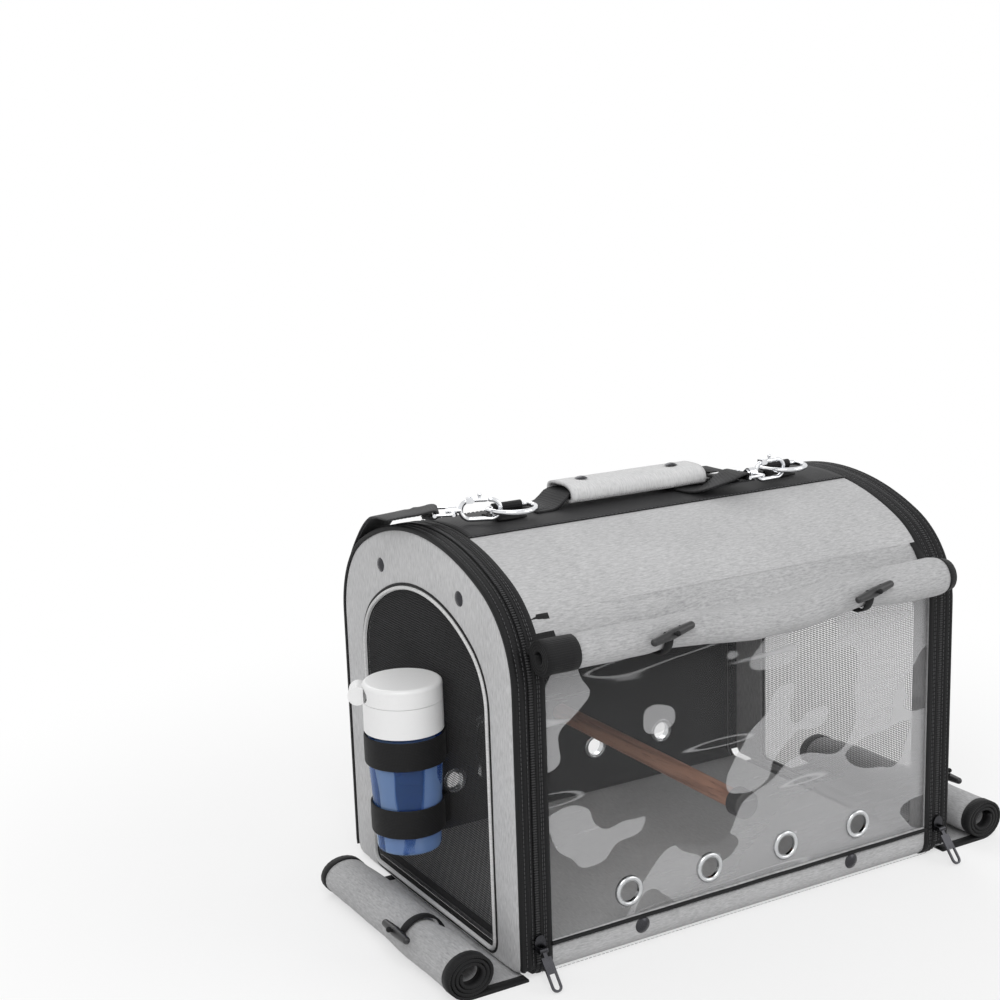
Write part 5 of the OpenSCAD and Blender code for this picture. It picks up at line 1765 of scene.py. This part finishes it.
@dataclass
class Top:
    """The roof's black strip, the tabs of the D-rings and the handle with its padded grip."""

    strip_half: float = 38.0
    strip_end: float = 175.9
    ring_x: float = RING_X
    ring_y: float = -8.0
    ring_z: float = 309.8
    handle_y: float = 6.0
    handle_x: float = -10.0
    grip_half: float = 63.0
    grip_w: float = 36.0
    grip_h: float = 15.0
    grip_z: float = 304.6
    grip_square: tuple[float, float] = (0.62, 0.72)
    grip_press: float = 0.9
    grip_hang: float = 3.2
    grip_overlap: float = 26.5
    strip_seam: float = 3.5

    def strip(self) -> None:
        """The webbing along the crown, with two rows of stitches."""
        places = [s for s in OUTER.walk(3.0) if abs(s.y) <= self.strip_half + 0.5 and s.nz > 0.5]
        xs = spread(-self.strip_end, self.strip_end, 60)
        rows = [[s.at(x, 1.15 + 0.12 * ripple(x, s.y, 0, 24)) for x in xs] for s in places]
        obj = Form().grid(rows, uv=lambda i, j: (places[i].y, xs[j])).mesh("roof_strip", [WEBBING])
        thicken(obj, 1.1)
        belong(obj, ROOT, WEBBING, "top_strip")
        inset = self.strip_half - self.strip_seam
        edges = [min(places, key=lambda s: abs(s.y - y)) for y in (-inset, inset)]
        lines = [[s.at(x, 1.35) for x in xs] for s in edges]
        STITCH_DARK.sew("roof_strip_stitches", ROOT, lines, length=2.4, radius=0.3, pitch=3.6)

    def tabs(self) -> None:
        """The folded tabs that hold the D-rings."""
        y, z = self.ring_y, self.ring_z
        bend = [(y + 2.8 * math.cos(a), z + 2.8 * math.sin(a))
                for a in (math.radians(-50 + 280 * k / 16) for k in range(17))]
        line = [(9.0, 302.0), (3.0, 302.1), (-2.6, 302.3), (-5.6, 303.4), (-6.6, 305.4)] + bend
        line += [(-9.4, 305.4), (-10.4, 303.4), (-13.0, 302.3), (-17.5, 302.0)]
        form = Form()
        stitches: list[list[Vector]] = []
        for s in (-1, 1):
            xs = [s * self.ring_x + (k - 3) * 4.0 for k in range(7)]
            rows = [[Vector((x, a, b)) for x in xs] for a, b in line]
            form.grid(rows)
            stitches.append([Vector((x, 6.0, 303.0)) for x in xs])
            stitches.append([Vector((x, 2.0, 303.0)) for x in xs])
        obj = thicken(form.mesh("ring_tabs", [BLACK], sharp=70), 1.3, 0.0)
        belong(obj, ROOT, BLACK, "strap_tabs")
        STITCH_DARK.sew("ring_tab_stitches", ROOT, stitches, length=2.2, radius=0.3, pitch=3.2)

    def webbing(self) -> None:
        """The handle's webbing from the roof up through the grip and down again."""
        core = self.grip_z + self.grip_h / 2
        side = [(103.0, 302.3), (96.0, 302.3), (89.0, 302.5), (84.5, 303.7), (80.0, 306.4), (76.0, 309.8),
                (73.0, 311.6), (69.0, core)]
        line = [(-x, z) for x, z in side] + [(self.handle_x + t, core) for t in (-50, -25, 0, 25, 50)]
        right = self.handle_x + self.grip_half
        line += [(88.5 - (88.5 - x) * (88.5 - right) / 14.0 if x < 88.5 else x, z) for x, z in side[::-1]]
        rows: list[Row] = []
        widths: list[float] = []
        for x, z in line:
            inside = smooth(self.grip_half + 3 - abs(x - self.handle_x), 0, 6)
            half = 17.0 - 3.6 * inside
            roof = OUTER.crown - math.sqrt(OUTER.crown**2 - 17.0**2)
            sink = roof * (1 - smooth(z, 302.4, 306))
            widths.append(half)
            rows.append([Vector((x, self.handle_y + half * t, z - sink * t * t)) for t in
                         (-1, -0.96, -0.66, -0.33, 0, 0.33, 0.66, 0.96, 1)])
        obj = thicken(Form().grid(rows).mesh("handle_band", [WEBBING], sharp=60), 1.9, 0.0)
        belong(obj, ROOT, WEBBING, "handle_webbing")
        x0, x1, w = 90.5, 101.0, 12.0
        box = [(x0, -w), (x1, -w), (x1, w), (x0, w), (x0, -w), (x1, w)]
        lines = [[Vector((s * x, self.handle_y + y, 303.55 - 0.0025 * y * y)) for x, y in run]
                 for s in (-1, 1) for run in (box, [(x0, w), (x1, -w)])]
        STITCH_DARK.sew("handle_stitches", ROOT, lines, length=2.2, radius=0.35, pitch=3.0)

    def grip(self) -> None:
        """The padded wrap round the webbing, open at its ends, with its overlap along the window side."""
        hw, hh = self.grip_w / 2 - 0.6, self.grip_h / 2 - 0.5
        steps, count = 48, 36
        rows: list[Row] = []
        for i in range(count + 1):
            t = i / count
            x = self.handle_x - self.grip_half + 2 * self.grip_half * t
            lip = 0.6 * (smooth(0.05 - t, 0, 0.05) + smooth(t - 0.95, 0, 0.05))
            full = 1.0 + 0.02 * math.sin(math.pi * t) + 0.01 * lip
            row: Row = []
            for k in range(steps):
                a = 2 * math.pi * k / steps
                ca, sa = math.cos(a), math.sin(a)
                y = hw * math.copysign(abs(ca) ** self.grip_square[0], ca) * full
                z = hh * math.copysign(abs(sa) ** self.grip_square[1], sa) * full
                snap = min(abs(t - 0.2), abs(t - 0.8)) * 2 * self.grip_half
                press = self.grip_press * bell(snap, 0, 7) * max(sa, 0) ** 4 * bell(y, 0, 8)
                dent = 0.35 * ripple(x, y * 2, z * 2, 18, 6.0) + 0.5 * bell(k, self.grip_overlap, 1.1)
                grow = 1 - dent / hw
                hang = self.grip_hang * max(-ca, 0.0) ** 1.5 * (1.3 - sa) / 2
                row.append(Vector((x, self.handle_y + y * grow - hang * 0.8,
                                   self.grip_z + self.grip_h / 2 + z * grow - press - hang)))
            rows.append(row)
        obj = Form().grid(rows, round_u=True).mesh("grip_wrap", [PALE], sharp=70)
        thicken(obj, 2.2)
        belong(obj, ROOT, PALE, "handle_grip")
        sewn = self.grip_half - 3
        low = [Vector((x, self.handle_y - hw * 0.985 - 2.4, self.grip_z + 2.2))
               for x in spread(self.handle_x - sewn, self.handle_x + sewn, 40)]
        STITCH_GREY.sew("grip_stitches", ROOT, [low], length=2.6, radius=0.32, pitch=3.8)
        dress(DARK_METAL, "handle_snaps")

    def build(self) -> None:
        """Makes everything on the roof."""
        self.strip()
        self.tabs()
        self.webbing()
        self.grip()


@dataclass
class Inside:
    """Board, padded mat, perch, feeding cup and the perch's fixing."""

    mat_x: float = 182.0
    mat_y: float = 118.0
    mat_low: float = 7.0
    mat_high: float = 10.8

    def mat(self) -> None:
        """The quilted mat on the board."""
        nx, ny = 52, 34
        top: list[Row] = []
        low: list[Row] = []
        for i in range(nx + 1):
            x = self.mat_x * (2 * i / nx - 1)
            a: Row = []
            b: Row = []
            for j in range(ny + 1):
                y = self.mat_y * (2 * j / ny - 1)
                edge = min(self.mat_x - abs(x), self.mat_y - abs(y))
                lines = min(abs(math.sin(math.pi * (x + y) / 60)), abs(math.sin(math.pi * (x - y) / 60)))
                z = self.mat_low + 1.0 + (self.mat_high - self.mat_low - 1.0) * smooth(edge, -1, 6) * (
                    0.55 + 0.45 * smooth(lines, 0.0, 0.35))
                a.append(Vector((x, y, z)))
                b.append(Vector((x, y, self.mat_low)))
            top.append(a)
            low.append(b)
        form = Form().grid(top).grid(low, flip=True)
        for rows in ([top[0], low[0]], [low[-1], top[-1]], [[r[0] for r in low], [r[0] for r in top]],
                     [[r[-1] for r in top], [r[-1] for r in low]]):
            form.grid(rows)
        obj = belong(form.mesh("quilted_mat", [PALE], sharp=60), ROOT, PALE, "floor_mat")

    def build(self) -> None:
        """Makes the mat and dresses the rigid pieces."""
        self.mat()
        dress(BOARD, "base_board")
        dress(WOOD, "perch_rod")
        dress(RUBBER, "perch_cap")
        dress(STEEL, "perch_screw", "perch_wing_nut", "cup_hanger", "feeding_cup")


@dataclass
class Bottle:
    """The water bottle and the two elastic loops on the left door that it slides into."""

    x: float = -232.0
    y: float = -30.0
    face: float = -200.0
    high: float = 21.0
    depth: float = 1.2
    bands: tuple[tuple[float, float], ...] = ((141.0, 28.4), (89.0, 25.8))

    def loops(self) -> None:
        """The elastics round the bottle, each sewn to the door behind it."""
        form = Form()
        lines: list[list[Vector]] = []
        heights = [0.0, 0.4, 1.2, self.high / 2, self.high - 1.2, self.high - 0.4, self.high]
        ease = [0.25, 0.08, 0.0, -0.08, 0.0, 0.08, 0.25]
        turn = math.radians(24)
        for z0, r in self.bands:
            out = r + self.depth / 2
            turns = [2 * math.pi * k / 48 for k in range(48)]
            form.grid([[Vector((self.x + (out - e) * math.cos(a), self.y + (out - e) * math.sin(a), z0 + h))
                        for a in turns] for h, e in zip(heights, ease)], round_u=True)
            for way in (-1, 1):
                leg = [(self.x + out * math.cos(turn), self.y + way * out * math.sin(turn)),
                       (self.x + out + 0.4, self.y + way * 9.5), (self.face - 1.4, self.y + way * 7.5),
                       (self.face - 0.7, self.y + way * 4.0), (self.face - 0.7, self.y)]
                form.grid([[Vector((a, b, z0 + h)) for a, b in leg] for h in heights])
                seam = self.y + way * 5.5
                lines.append([Vector((self.face - 1.3, seam, z)) for z in spread(z0 + 2, z0 + 19, 6)])
        obj = thicken(form.mesh("bottle_elastics", [ELASTIC], sharp=60), self.depth, 0.0)
        belong(obj, "left_door", ELASTIC, "bottle_loops")
        STITCH_DARK.sew("bottle_elastic_stitches", "left_door", lines, length=2.2, radius=0.35, pitch=3.0)

    def build(self) -> None:
        """Makes the loops and dresses the bottle."""
        self.loops()
        dress(BLUE, "bottle_body")
        dress(WHITE, "bottle_cap", "bottle_lid")


def main() -> None:
    """Builds every sub-assembly in order."""
    logging.basicConfig(level=logging.INFO, format="%(name)s: %(message)s")
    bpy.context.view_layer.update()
    Camera().build()
    hooks = Hooks()
    Strap(hooks).build()
    Studio().build()
    bpy.context.scene.view_settings.view_transform = "Standard"
    Shell().build()
    Window().build()
    for side in Side:
        ZipEnd(side).build()
        Door(side).build()
        dress(DARK_METAL, f"{side.word}_zip_slider", f"{side.word}_zip_pull")
    Rolls().build()
    Top().build()
    Inside().build()
    Bottle().build()
    hooks.build()


if __name__ == "__main__":
    main()
